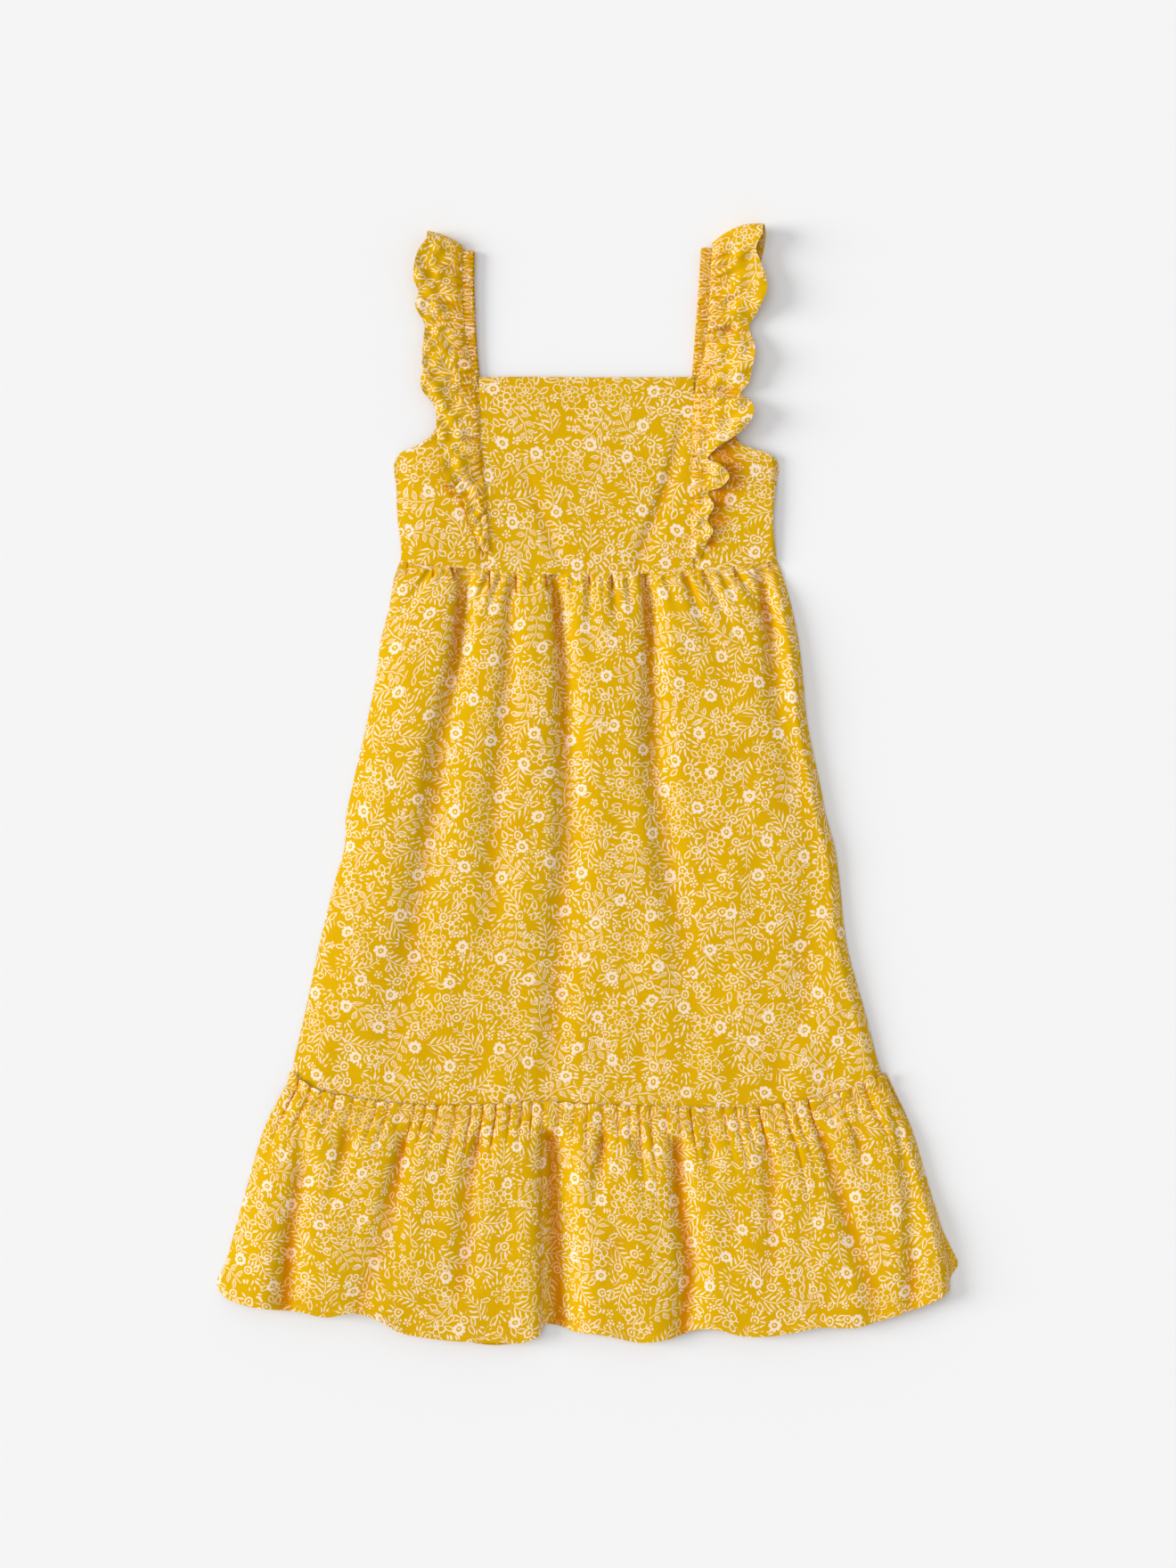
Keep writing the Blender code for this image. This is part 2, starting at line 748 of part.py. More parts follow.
def build_bodice_back():
    inset = BACK_INSET / MM
    left = (BACK_NECK_LEFT,) + moved(SIDE_LEFT[1:], x=inset)
    right = (BACK_NECK_RIGHT,) + moved(SIDE_RIGHT[1:], x=-inset)
    waist = (left[-1],) + WAIST[1:-1] + (right[-1],)
    shape = patch((BACK_NECK_LEFT, BACK_NECK_RIGHT), waist, left, right)

    def skin(across, down):
        return level_wall(shape(across, down), np.full_like(across, BACK_WALL), BACK_WALL)

    wall("bodice_back", skin, np.linspace(0, 1, 5), [12] * 5)


# ---------------------------------------------------------------- skirt and flounce


def build_skirt():
    top = moved(WAIST, y=-SEAM_GAP / MM)
    left = (top[0],) + SKIRT_LEFT[1:]
    right = (top[-1],) + SKIRT_RIGHT[1:]
    bottom = (left[-1],) + moved(FRILL, y=-SKIRT_TUCK)[1:-1] + (right[-1],)
    shape = patch(top, bottom, left, right)

    def front_skin(across, down):
        flat = shape(across, down)
        rounding = side_rounding(across, np.ptp(flat[..., 0]))
        return level_wall(flat, skirt_height(flat[..., 0], flat[..., 1], rounding), FRONT_WALL)

    gathered = [0.0, 0.014, 0.035, 0.065, 0.1]
    plain = list(np.linspace(0.16, 1.0, 12))
    wall("skirt_front", front_skin, gathered + plain, [96] * len(gathered) + [48] * len(plain))

    def back_skin(across, down):
        flat = shape(across, down)
        flat[..., 0] *= 1 - BACK_INSET / HALF_SKIRT
        over_heading = 1 - ease(*BACK_STEP, flat[..., 1])
        top_face = BACK_WALL + (BACK_WALL + LAYER_GAP) * over_heading
        return level_wall(flat, top_face, BACK_WALL)

    downs = list(np.linspace(0, 0.84, 8)) + [0.88, 0.92, 0.96, 1.0]
    wall("skirt_back", back_skin, downs, [12] * len(downs))


def build_flounce():
    front = patch(FRILL, HEM, FLOUNCE_LEFT, FLOUNCE_RIGHT)
    frill_line = smooth_line(FRILL)

    def front_skin(across, down):
        flat = front(across, down)
        x, y = flat[..., 0], flat[..., 1]
        below_top = np.clip(frill_line(across)[..., 1] - y, 0.0, None)
        rounding = side_rounding(across, np.ptp(x))
        return level_wall(flat, flounce_height(across, x, y, below_top, rounding), FRONT_WALL)

    gathered = [0.0, 0.028, 0.055, 0.09, 0.15]
    plain = list(np.linspace(0.25, 1.0, 7))
    quads = 4 * FLOUNCE_GATHERS
    columns = [quads] * len(gathered) + [quads // 2] * len(plain)
    wall("flounce_front", front_skin, gathered + plain, columns)

    left = moved(FLOUNCE_LEFT, x=BACK_INSET / MM)
    right = BACK_FLOUNCE_RIGHT
    hem = (left[-1],) + moved(HEM, y=2)[2:-2:2] + (right[-1],)
    top = (left[0],) + FRILL[1:-1] + (right[0],)
    back = patch(top, hem, left, right)

    def back_skin(across, down):
        return level_wall(back(across, down), np.full_like(across, BACK_WALL), BACK_WALL)

    downs = [0.0, 0.25, 0.5, 0.7, 0.84, 0.9, 0.95, 1.0]
    wall("flounce_back", back_skin, downs, [20] * len(downs))


# ---------------------------------------------------------------- straps


def strap_route(neck_edge, place):
    """Middle of a strap, place metres along it from the front neckline over the shoulder to the back."""
    turn_y = neck_edge[0][0] * MM - SHOULDER_RADIUS
    front = turn_y - neck_edge[-1][0] * MM
    turn = math.pi * SHOULDER_RADIUS
    angle = np.clip((place - front) / SHOULDER_RADIUS, 0.0, math.pi)
    on_front = place < front
    past_turn = np.clip(place - front - turn, 0.0, None)
    y = np.where(on_front, turn_y - front + place, turn_y + SHOULDER_RADIUS * np.sin(angle) - past_turn)
    low, high = STRAP_WALL / 2, STRAP_RISE[-1][1] * MM
    over_back = 1 - ease(*STRAP_STEP, y - BACK_NECK_Y * MM)
    back_z = low + (BACK_WALL + LAYER_GAP) * over_back * (past_turn > 0)
    turn_z = low + (high - low) * 0.5 * (1 + np.cos(angle))
    z = np.where(on_front, read_off(STRAP_RISE, y), np.where(past_turn > 0, back_z, turn_z))
    return read_off(neck_edge, y), y, z


def build_straps():
    for name, neck_edge, hand in (
        ("strap_left", STRAP_EDGE_LEFT, -1),
        ("strap_right", STRAP_EDGE_RIGHT, 1),
    ):
        turn_y = neck_edge[0][0] * MM - SHOULDER_RADIUS
        front = turn_y - neck_edge[-1][0] * MM
        turned = front + math.pi * SHOULDER_RADIUS
        end = turned + turn_y - BACK_NECK_Y * MM + BACK_STRAP_LAP

        def skin(across, place, neck_edge=neck_edge, hand=hand, front=front):
            step = 0.2 * MM
            x, y, z = strap_route(neck_edge, place)
            _, next_y, next_z = strap_route(neck_edge, place + step)
            run_y, run_z = next_y - y, next_z - z
            length = np.hypot(run_y, run_z)
            x = x + (across if hand > 0 else across - 1) * STRAP_WIDTH
            crown = np.sin(math.pi * across) ** 0.5 * (place < front)
            ribs = RIB_HEIGHT * crown * np.cos(2 * math.pi * STRAP_RIBS * place / front)
            outer = STRAP_WALL / 2 + ribs
            inner = STRAP_WALL / 2
            across_y, across_z = -run_z / length, run_y / length
            upper = np.stack([x, y + across_y * outer, z + across_z * outer], axis=-1)
            lower = np.stack([x, y - across_y * inner, z - across_z * inner], axis=-1)
            return upper, lower

        ribbed = np.linspace(0.0, front, 2 * STRAP_RIBS + 1)
        turn = np.linspace(front, turned, 8)[1:]
        back = np.linspace(turned, end, 12)[1:]
        places = np.concatenate([ribbed, turn, back])
        wall(name, skin, places, [2] * len(places))


# ---------------------------------------------------------------- ruffles


def ruffle_seat(x, y):
    """Height of a ruffle's upper face along its seam: on the bodice, then on the strap."""
    on_bodice = bodice_height(x, y)
    on_strap = read_off(STRAP_RISE, y) + STRAP_WALL / 2 + RIB_HEIGHT
    share = ease(*RUFFLE_STEP, y)
    return on_bodice + (on_strap - on_bodice) * share + LAYER_GAP + RUFFLE_WALL


def ruffle_middle(seam, edge, hand, bow, across, down):
    """Middle of a ruffle's wall: across runs from its seam to its free edge, and down from its lower
    end on the front, over the shoulder, to its end at the back neck."""
    stations = smooth_line(edge[::-1])(np.clip(down / RUFFLE_FRONT, 0.0, 1.0))
    seam_y, edge_x, edge_y, lift = np.moveaxis(stations, -1, 0)
    seam_x = read_off(seam, seam_y)
    seam_z = ruffle_seat(seam_x, seam_y) - RUFFLE_WALL / 2
    front_inner = np.stack([seam_x, seam_y, seam_z], axis=-1)
    front_outer = np.stack([edge_x, edge_y, seam_z + lift], axis=-1)

    shoulder_y = edge[0][0] * MM
    fall = np.clip((down - RUFFLE_FRONT - RUFFLE_TURN) / (1 - RUFFLE_FRONT - RUFFLE_TURN), 0.0, 1.0)
    back_end = BACK_NECK_Y * MM + RUFFLE_CLEARANCE
    back_y = shoulder_y + (back_end - shoulder_y) * fall
    back_x = np.full_like(fall, read_off(seam, shoulder_y))
    back_z = np.full_like(fall, RUFFLE_WALL / 2)
    width = RUFFLE_BACK_WIDTH * (1 - RUFFLE_BACK_TAPER * fall)
    back_inner = np.stack([back_x, back_y, back_z], axis=-1)
    outer_y = back_y + SHOULDER_WIDENING * (1 - fall)
    back_outer = np.stack([back_x + hand * width, outer_y, back_z], axis=-1)

    angle = math.pi * np.clip((down - RUFFLE_FRONT) / RUFFLE_TURN, 0.0, 1.0)
    front_share = (0.5 + 0.5 * np.cos(angle))[..., None]

    def turned(front, back):
        point = back + (front - back) * front_share
        point[..., 1] += (front[..., 2] - back[..., 2]) / 2 * np.sin(angle)
        return point

    inner, outer = turned(front_inner, back_inner), turned(front_outer, back_outer)
    points = inner + (outer - inner) * across[..., None]
    points[..., 2] = inner[..., 2] + (outer[..., 2] - inner[..., 2]) * across**RUFFLE_HOLLOW
    near_turn = ease(RUFFLE_FRONT - RUFFLE_BOW_SHARE, RUFFLE_FRONT, down) * (1 - fall)
    points[..., 1] += bow * np.sin(math.pi * across) * near_turn
    return points


def build_ruffles():
    for name, seam, edge, hand, bow in (
        ("ruffle_left", RUFFLE_SEAM_LEFT, RUFFLE_EDGE_LEFT, -1, RUFFLE_BOW_LEFT),
        ("ruffle_right", RUFFLE_SEAM_RIGHT, RUFFLE_EDGE_RIGHT, 1, RUFFLE_BOW_RIGHT),
    ):

        def skin(across, down, seam=seam, edge=edge, hand=hand, bow=bow):
            def middle(a, d):
                return ruffle_middle(seam, edge, hand, bow, a, d)

            step = 1e-4
            points = middle(across, down)
            over = middle(np.minimum(across + step, 1), down) - middle(np.maximum(across - step, 0), down)
            along = middle(across, np.minimum(down + step, 1)) - middle(across, np.maximum(down - step, 0))
            normal = np.cross(over, along) * hand
            normal *= RUFFLE_WALL / 2 / np.linalg.norm(normal, axis=-1, keepdims=True)
            return points + normal, points - normal

        front = np.linspace(0.0, RUFFLE_FRONT, 3 * len(edge) - 1)
        turn = np.linspace(RUFFLE_FRONT, RUFFLE_FRONT + RUFFLE_TURN, 8)[1:]
        back = np.linspace(RUFFLE_FRONT + RUFFLE_TURN, 1.0, 6)[1:]
        downs = np.concatenate([front, turn, back])
        wall(name, skin, downs, [3] * len(downs))


# ---------------------------------------------------------------- the dress


def main():
    for thing in list(bpy.data.objects):
        bpy.data.objects.remove(thing, do_unlink=True)
    build_bodice_front()
    build_bodice_back()
    build_skirt()
    build_flounce()
    build_straps()
    build_ruffles()


main()
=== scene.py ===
# %% [markdown]
# # A girl's sundress, laid flat
# This lesson dresses a plain model of a sundress in thin printed cotton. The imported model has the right
# outline, size and folds, but its walls are thick and plain. Here every wall is replaced by a sheet of
# cloth about half a millimetre thick, with finer gathers, seams, hems, stitches and a flower print.
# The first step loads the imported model. Its box is kept, because the finished dress may not outgrow it.

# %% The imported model
import math
from functools import partialmethod

import bpy
import numpy as np
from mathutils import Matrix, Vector


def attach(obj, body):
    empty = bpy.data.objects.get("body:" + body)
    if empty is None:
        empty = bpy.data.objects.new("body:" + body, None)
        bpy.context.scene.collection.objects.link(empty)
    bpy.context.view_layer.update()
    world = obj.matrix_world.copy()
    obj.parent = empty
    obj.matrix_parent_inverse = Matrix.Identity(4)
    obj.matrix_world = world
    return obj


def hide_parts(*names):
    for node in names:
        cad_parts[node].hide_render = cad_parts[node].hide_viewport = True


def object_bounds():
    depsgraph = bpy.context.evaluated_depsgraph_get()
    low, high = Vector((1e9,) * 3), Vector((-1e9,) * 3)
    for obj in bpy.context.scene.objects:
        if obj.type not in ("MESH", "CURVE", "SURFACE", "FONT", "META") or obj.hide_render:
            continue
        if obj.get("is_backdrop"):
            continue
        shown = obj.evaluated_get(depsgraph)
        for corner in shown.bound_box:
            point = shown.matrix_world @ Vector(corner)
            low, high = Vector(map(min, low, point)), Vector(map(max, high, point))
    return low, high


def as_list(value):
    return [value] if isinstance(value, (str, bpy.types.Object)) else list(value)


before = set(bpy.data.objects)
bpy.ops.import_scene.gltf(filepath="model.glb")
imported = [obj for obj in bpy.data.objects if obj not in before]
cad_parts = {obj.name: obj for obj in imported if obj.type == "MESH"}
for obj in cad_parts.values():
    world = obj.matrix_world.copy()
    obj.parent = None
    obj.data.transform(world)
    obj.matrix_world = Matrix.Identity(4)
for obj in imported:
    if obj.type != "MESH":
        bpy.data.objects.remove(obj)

cad_box = [[float(v) for v in corner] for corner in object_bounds()]
MM = 0.001
print("nodes of the packed model:", sorted(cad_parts))
print("its box in mm:", [[round(v / MM, 1) for v in corner] for corner in cad_box])

# %% [markdown]
# ## Camera, floor and light
# A flat lay is pictured from straight above, so the camera looks down and needs no shift. One number,
# the length of surface that fits in the picture, gives the lens. The dress lies on a matt, nearly white
# board. A broad light from the left gives soft shadows to the right of every fold, and pale light from all
# around keeps them open. The Standard view keeps a white board white.

# %% Camera, floor and light
CAMERA_HEIGHT = 2.4
# Length of surface between the picture's top and bottom edges.
SURFACE_SEEN = 1.1088
SENSOR = 36.0
FLOOR_SIZE = 8.0
FLOOR_DROP = 0.3 * MM
FLOOR_COLOR = (0.90, 0.90, 0.905, 1.0)
FLOOR_ROUGHNESS = 0.9
ROOM_LIGHT = 0.54
LAMP_DISTANCE = 2.0
# name, direction that the light goes, strength, how broad the light looks in degrees
LAMPS = (("window", (1.0, -0.05, -0.44), 2.45, 30.0), ("skylight", (0.3, -0.10, -1.0), 0.52, 40.0))


def put_in_scene(name, data):
    """A new object that holds a camera, a lamp or a mesh."""
    thing = bpy.data.objects.new(name, data)
    bpy.context.scene.collection.objects.link(thing)
    return thing


camera_data = bpy.data.cameras.new("camera")
camera_data.sensor_fit = "VERTICAL"
camera_data.sensor_height = SENSOR
camera_data.lens = SENSOR * CAMERA_HEIGHT / SURFACE_SEEN
camera = put_in_scene("camera", camera_data)
camera.location = (0.0, 0.0, CAMERA_HEIGHT)
bpy.context.scene.camera = camera
bpy.context.scene.view_settings.view_transform = "Standard"

bpy.ops.object.select_all(action="DESELECT")
bpy.ops.mesh.primitive_plane_add(size=FLOOR_SIZE, location=(0.0, 0.0, -FLOOR_DROP))
floor = bpy.context.object
floor.name = "floor"
floor_material = bpy.data.materials.new("pale board")
floor_material.use_nodes = True
floor_shader = floor_material.node_tree.nodes["Principled BSDF"]
floor_shader.inputs["Base Color"].default_value = FLOOR_COLOR
floor_shader.inputs["Roughness"].default_value = FLOOR_ROUGHNESS
floor.data.materials.append(floor_material)
floor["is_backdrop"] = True

for name, direction, strength, breadth in LAMPS:
    lamp_data = bpy.data.lights.new(name, "SUN")
    lamp_data.energy = strength
    lamp_data.angle = math.radians(breadth)
    lamp = put_in_scene(name, lamp_data)
    lamp.rotation_euler = Vector(direction).to_track_quat("-Z", "Y").to_euler()
    lamp.location = -LAMP_DISTANCE * Vector(direction)

world = bpy.data.worlds.new("pale room")
world.use_nodes = True
sky = world.node_tree.nodes["Background"]
sky.inputs["Color"].default_value = (1.0, 1.0, 1.0, 1.0)
sky.inputs["Strength"].default_value = ROOM_LIGHT
bpy.context.scene.world = world
print("lens in mm:", round(camera_data.lens, 2))

# %% [markdown]
# ## The pattern pieces
# A dress is cut from flat pieces. Each piece here is a patch between four border lines: its top, bottom,
# left and right edges. The lines are short tables of points in millimetres, the same ones as the packed
# model has, so each sheet of cloth lands exactly on the wall that it replaces. A curve goes smoothly
# through the rows of a table, and a patch blends the four lines into places inside them.

# %% Outlines of the pieces: x, y
NECKLINE = ((-77.5, 287.3), (-40, 287.6), (0, 287.2), (40, 287.2), (74.6, 287.5))
SEAM_LEFT = ((-77.5, 287.3), (-75.2, 240), (-73.2, 215), (-70.6, 183), (-70.4, 150.6))
SEAM_RIGHT = ((74.6, 287.5), (74.4, 240), (74.3, 200), (74.3, 150.6))
ARMHOLE_LEFT = (
    (-90, 287), (-94, 272), (-101, 258), (-107.1, 251), (-111, 245.8), (-119, 240), (-127, 236.2),
    (-133.4, 233.2), (-136.4, 228),
)
ARMHOLE_RIGHT = (
    (88, 287), (92, 272), (98, 257), (103, 247.6), (107.2, 240.8), (116.5, 236.6), (126.6, 233.2),
    (132, 230), (134.2, 226),
)
SIDE_LEFT = ((-136.4, 228), (-135.4, 210), (-134.6, 189), (-133.2, 176), (-132.0, 165), (-132.4, 157))
SIDE_RIGHT = ((134.2, 226), (132.9, 212), (130.6, 189), (131, 176), (132.4, 165), (133.4, 157))
WAIST_LEFT = ((-132.4, 157.0), (-100, 153.4), (-70.4, 150.6))
WAIST_MIDDLE = ((-70.4, 150.6), (-35, 148.4), (0, 147.8), (35, 148.4), (74.3, 150.6))
WAIST_RIGHT = ((74.3, 150.6), (100, 153.2), (133.4, 157.0))
WAIST = WAIST_LEFT + WAIST_MIDDLE[1:] + WAIST_RIGHT[1:]
SKIRT_LEFT = (
    (-132.4, 157), (-137, 145), (-140.2, 126), (-146.4, 101), (-149.6, 76), (-154.8, 50), (-166, 0),
    (-171, -24), (-171.8, -44), (-177.2, -63), (-189.6, -113), (-200.4, -164), (-206.8, -192),
    (-211.4, -215),
)
SKIRT_RIGHT = (
    (133.4, 157), (138.2, 145), (143.6, 126), (148.7, 101), (151.8, 76), (154, 50), (163.8, 0),
    (168.8, -25), (174.2, -44), (177, -63), (182.7, -113), (196.4, -164), (203.4, -192), (210.6, -216),
)
FRILL = (
    (-210.4, -203), (-191.5, -215.2), (-168.8, -220.2), (-138.6, -224.6), (-100.8, -226.4),
    (-63, -225.1), (-34.7, -223.3), (-6.3, -225.1), (23.9, -226.4), (86.9, -228.3), (115.3, -227.6),
    (142.4, -223.9), (180.8, -216.3), (201.6, -207.6), (210.4, -204),
)
FLOUNCE_LEFT = (
    (-210.4, -203), (-211.6, -209), (-217.4, -220.5), (-227.2, -239.4), (-235.4, -264.6),
    (-242.4, -289.8), (-249.4, -315), (-257, -340.2), (-262.2, -352.4), (-261.4, -357.4),
)
FLOUNCE_RIGHT = (
    (210.4, -204), (211.8, -210), (216.6, -220.5), (227, -239.4), (235.2, -264.6), (242.4, -289.8),
    (250, -315), (254.6, -338), (256, -356.4),
)
HEM = (
    (-261.4, -357.4), (-254, -363.4), (-239, -368), (-201, -372.2), (-186, -375.4), (-163.2, -373),
    (-148.2, -377.4), (-133, -386), (-110.4, -390.4), (-65.2, -393), (-42.6, -392.4), (-35.6, -388.6),
    (-31.6, -381.8), (-22, -382.6), (-10, -385.8), (10, -388), (40.2, -393.4), (62.8, -389.2),
    (77.8, -384.2), (92.8, -384.8), (108, -388.6), (123, -389.2), (145.6, -386.2), (160.6, -383),
    (190.6, -382.4), (205.8, -378), (221, -373), (236, -367.6), (251, -360.6), (256, -356.4),
)
BACK_FLOUNCE_RIGHT = (
    (210.4, -204), (227, -239.4), (242, -289.8), (250.4, -315), (256.6, -328), (261.4, -340),
    (257, -347), (254.6, -354),
)
outlines = (NECKLINE, SEAM_LEFT, SEAM_RIGHT, WAIST, SKIRT_LEFT, SKIRT_RIGHT, FRILL, HEM)
print("points in the main outlines:", sum(map(len, outlines)))

# %% [markdown]
# ## Lines and patches
# In Blender such a line would be a curve object, and such a patch a surface lofted between curves. Here
# both are short formulas instead, because the folds have to be added to the surface at exact places. Give
# a line or a patch a place as a share of its length, and it answers with a point in metres.

# %% Lines through the tables, and patches between lines
# The hand that a piece is on, as seen from above: the sign of its x.
LEFT, RIGHT = -1, 1


def length_along(points, axis=0):
    """Length along a line of points from its first one; axis 1 measures along each row of a grid."""
    run = np.cumsum(np.linalg.norm(np.diff(points, axis=axis), axis=-1), axis=axis)
    return np.pad(run, [(1, 0) if k == axis else (0, 0) for k in range(run.ndim)])


def smooth_line(table):
    """A smooth line through the table's rows, as a function of the share of its length, in metres."""
    rows = np.array(table, float) * MM
    run = length_along(rows)
    places = run / run[-1]
    gaps = np.diff(places)[:, None]
    slopes = np.diff(rows, axis=0) / gaps
    tangents = np.empty_like(rows)
    tangents[0], tangents[-1] = slopes[0], slopes[-1]
    tangents[1:-1] = (gaps[1:] * slopes[:-1] + gaps[:-1] * slopes[1:]) / (gaps[1:] + gaps[:-1])

    def at(share):
        share = np.clip(share, 0.0, 1.0)
        row = np.clip(np.searchsorted(places, share, side="right") - 1, 0, len(rows) - 2)
        gap = gaps[row]
        u = (share - places[row])[..., None] / gap
        start = (1 + 2 * u) * (1 - u) ** 2 * rows[row] + u * (1 - u) ** 2 * gap * tangents[row]
        end = u**2 * (3 - 2 * u) * rows[row + 1] - u**2 * (1 - u) * gap * tangents[row + 1]
        return start + end

    return at


def moved(table, x=0.0, y=0.0):
    """An outline shifted by x and y, in millimetres."""
    return tuple((point_x + x, point_y + y) for point_x, point_y in table)


def patch(top, bottom, left, right):
    """The flat patch between four border lines, as a function of across (0 left, 1 right) and down."""
    top_line, bottom_line, left_line, right_line = map(smooth_line, (top, bottom, left, right))

    def at(across, down):
        a, d = across[..., None], down[..., None]
        first, last = np.zeros_like(across), np.ones_like(across)
        between_ends = (1 - d) * top_line(across) + d * bottom_line(across)
        between_sides = (1 - a) * left_line(down) + a * right_line(down)
        top_straight = (1 - a) * top_line(first) + a * top_line(last)
        bottom_straight = (1 - a) * bottom_line(first) + a * bottom_line(last)
        return between_ends + between_sides - (1 - d) * top_straight - d * bottom_straight

    return at


def patch_width(shape, down):
    """Width of a patch at each place down it."""
    left = shape(np.zeros_like(down), down)
    return np.linalg.norm(shape(np.ones_like(down), down) - left, axis=-1)


FRONT_CENTER = patch(NECKLINE, WAIST_MIDDLE, SEAM_LEFT, SEAM_RIGHT)
middle_width = float(patch_width(FRONT_CENTER, np.array([0.5]))[0])
print("the front's middle panel is", round(middle_width / MM, 1), "mm wide")

# %% [markdown]
# ## How high the cloth lies
# Seen from above, a flat lay is a landscape a few millimetres high. Long troughs run down the skirt where
# the gathers of the waist open into folds, and short ones down the flounce. Each trough is a table: how
# far down the cloth a row is, where the left flank is steepest, how deep it is, and how far each flank
# reaches. A painted height map would do as well, but a table can be read and changed row by row.

# %% Heights and troughs
# y, height of the upper face
BODICE_LOFT = ((290, 4.0), (250, 5.4), (200, 5.8), (165, 4.4), (147, 3.8))
SKIRT_LOFT = (
    (160, 3.6), (148, 4.2), (135, 8.4), (100, 10.8), (40, 11.4), (-60, 10.6), (-150, 8.8), (-215, 7.0),
    (-245, 6.4),
)
FLOUNCE_LOFT = ((-200, 7.4), (-235, 8.4), (-255, 9.8), (-300, 11.2), (-350, 11.8), (-396, 11.2))
# y, x where the left flank is steepest, depth, reach of the left flank, reach of the right flank
BODICE_TROUGHS = (
    (
        (256, 65.0, 0.8, 4, 5), (230, 57.5, 2.0, 4, 6), (206, 50.5, 2.4, 4.5, 7),
        (168, 36.0, 2.0, 5, 8), (152, 31.0, 1.0, 6, 8),
    ),
    (
        (224, -48.5, 0.3, 4, 6), (196, -38.0, 1.1, 5, 7), (168, -27.1, 1.2, 5, 8),
        (152, -22.0, 0.6, 6, 8),
    ),
)
SKIRT_TROUGHS = (
    (
        (148, -92.6, 5, 4.5, 7), (130, -94.0, 9, 5.5, 9), (88, -98.9, 8, 6.5, 12),
        (25, -112.5, 6, 11, 15), (-67, -123.6, 4.2, 13, 17), (-130, -137.7, 2.6, 14, 18),
        (-172, -145.0, 0.6, 14, 18),
    ),
    (
        (142, -56.5, 1.8, 4, 6), (84, -61.1, 3.6, 7, 10), (25, -67.9, 3.6, 11, 13),
        (-59, -74.7, 2.6, 12, 15), (-122, -77.5, 0.8, 12, 15),
    ),
    (
        (145, -27.6, 5, 4.5, 6), (130, -26.4, 8.6, 5.5, 8), (88, -23.3, 7, 7, 10),
        (25, -22.3, 5.8, 10, 13), (-38, -22.8, 4.8, 11, 14), (-101, -26.7, 3.8, 12, 15),
        (-164, -30.6, 2.6, 13, 15), (-219, -35.9, 1, 10, 12),
    ),
    (
        (145, 37.0, 4.5, 4.5, 6), (130, 38.0, 8, 5.5, 8), (101, 39.2, 7.4, 7, 10), (25, 38.7, 5.6, 11, 13),
        (-59, 47.5, 3.6, 13, 15), (-109, 57.6, 2, 14, 16), (-151, 58.6, 0.6, 14, 16),
    ),
    (
        (147, 118.7, 4, 4.5, 6), (130, 121.0, 7, 5.5, 7), (101, 124.1, 5.5, 7, 8),
        (59, 127.9, 3, 10, 10), (-4, 140.5, 2, 15, 14), (-67, 153.1, 2.2, 16, 14),
        (-122, 143.0, 2.2, 16, 14), (-172, 138.6, 1.4, 16, 14),
    ),
)
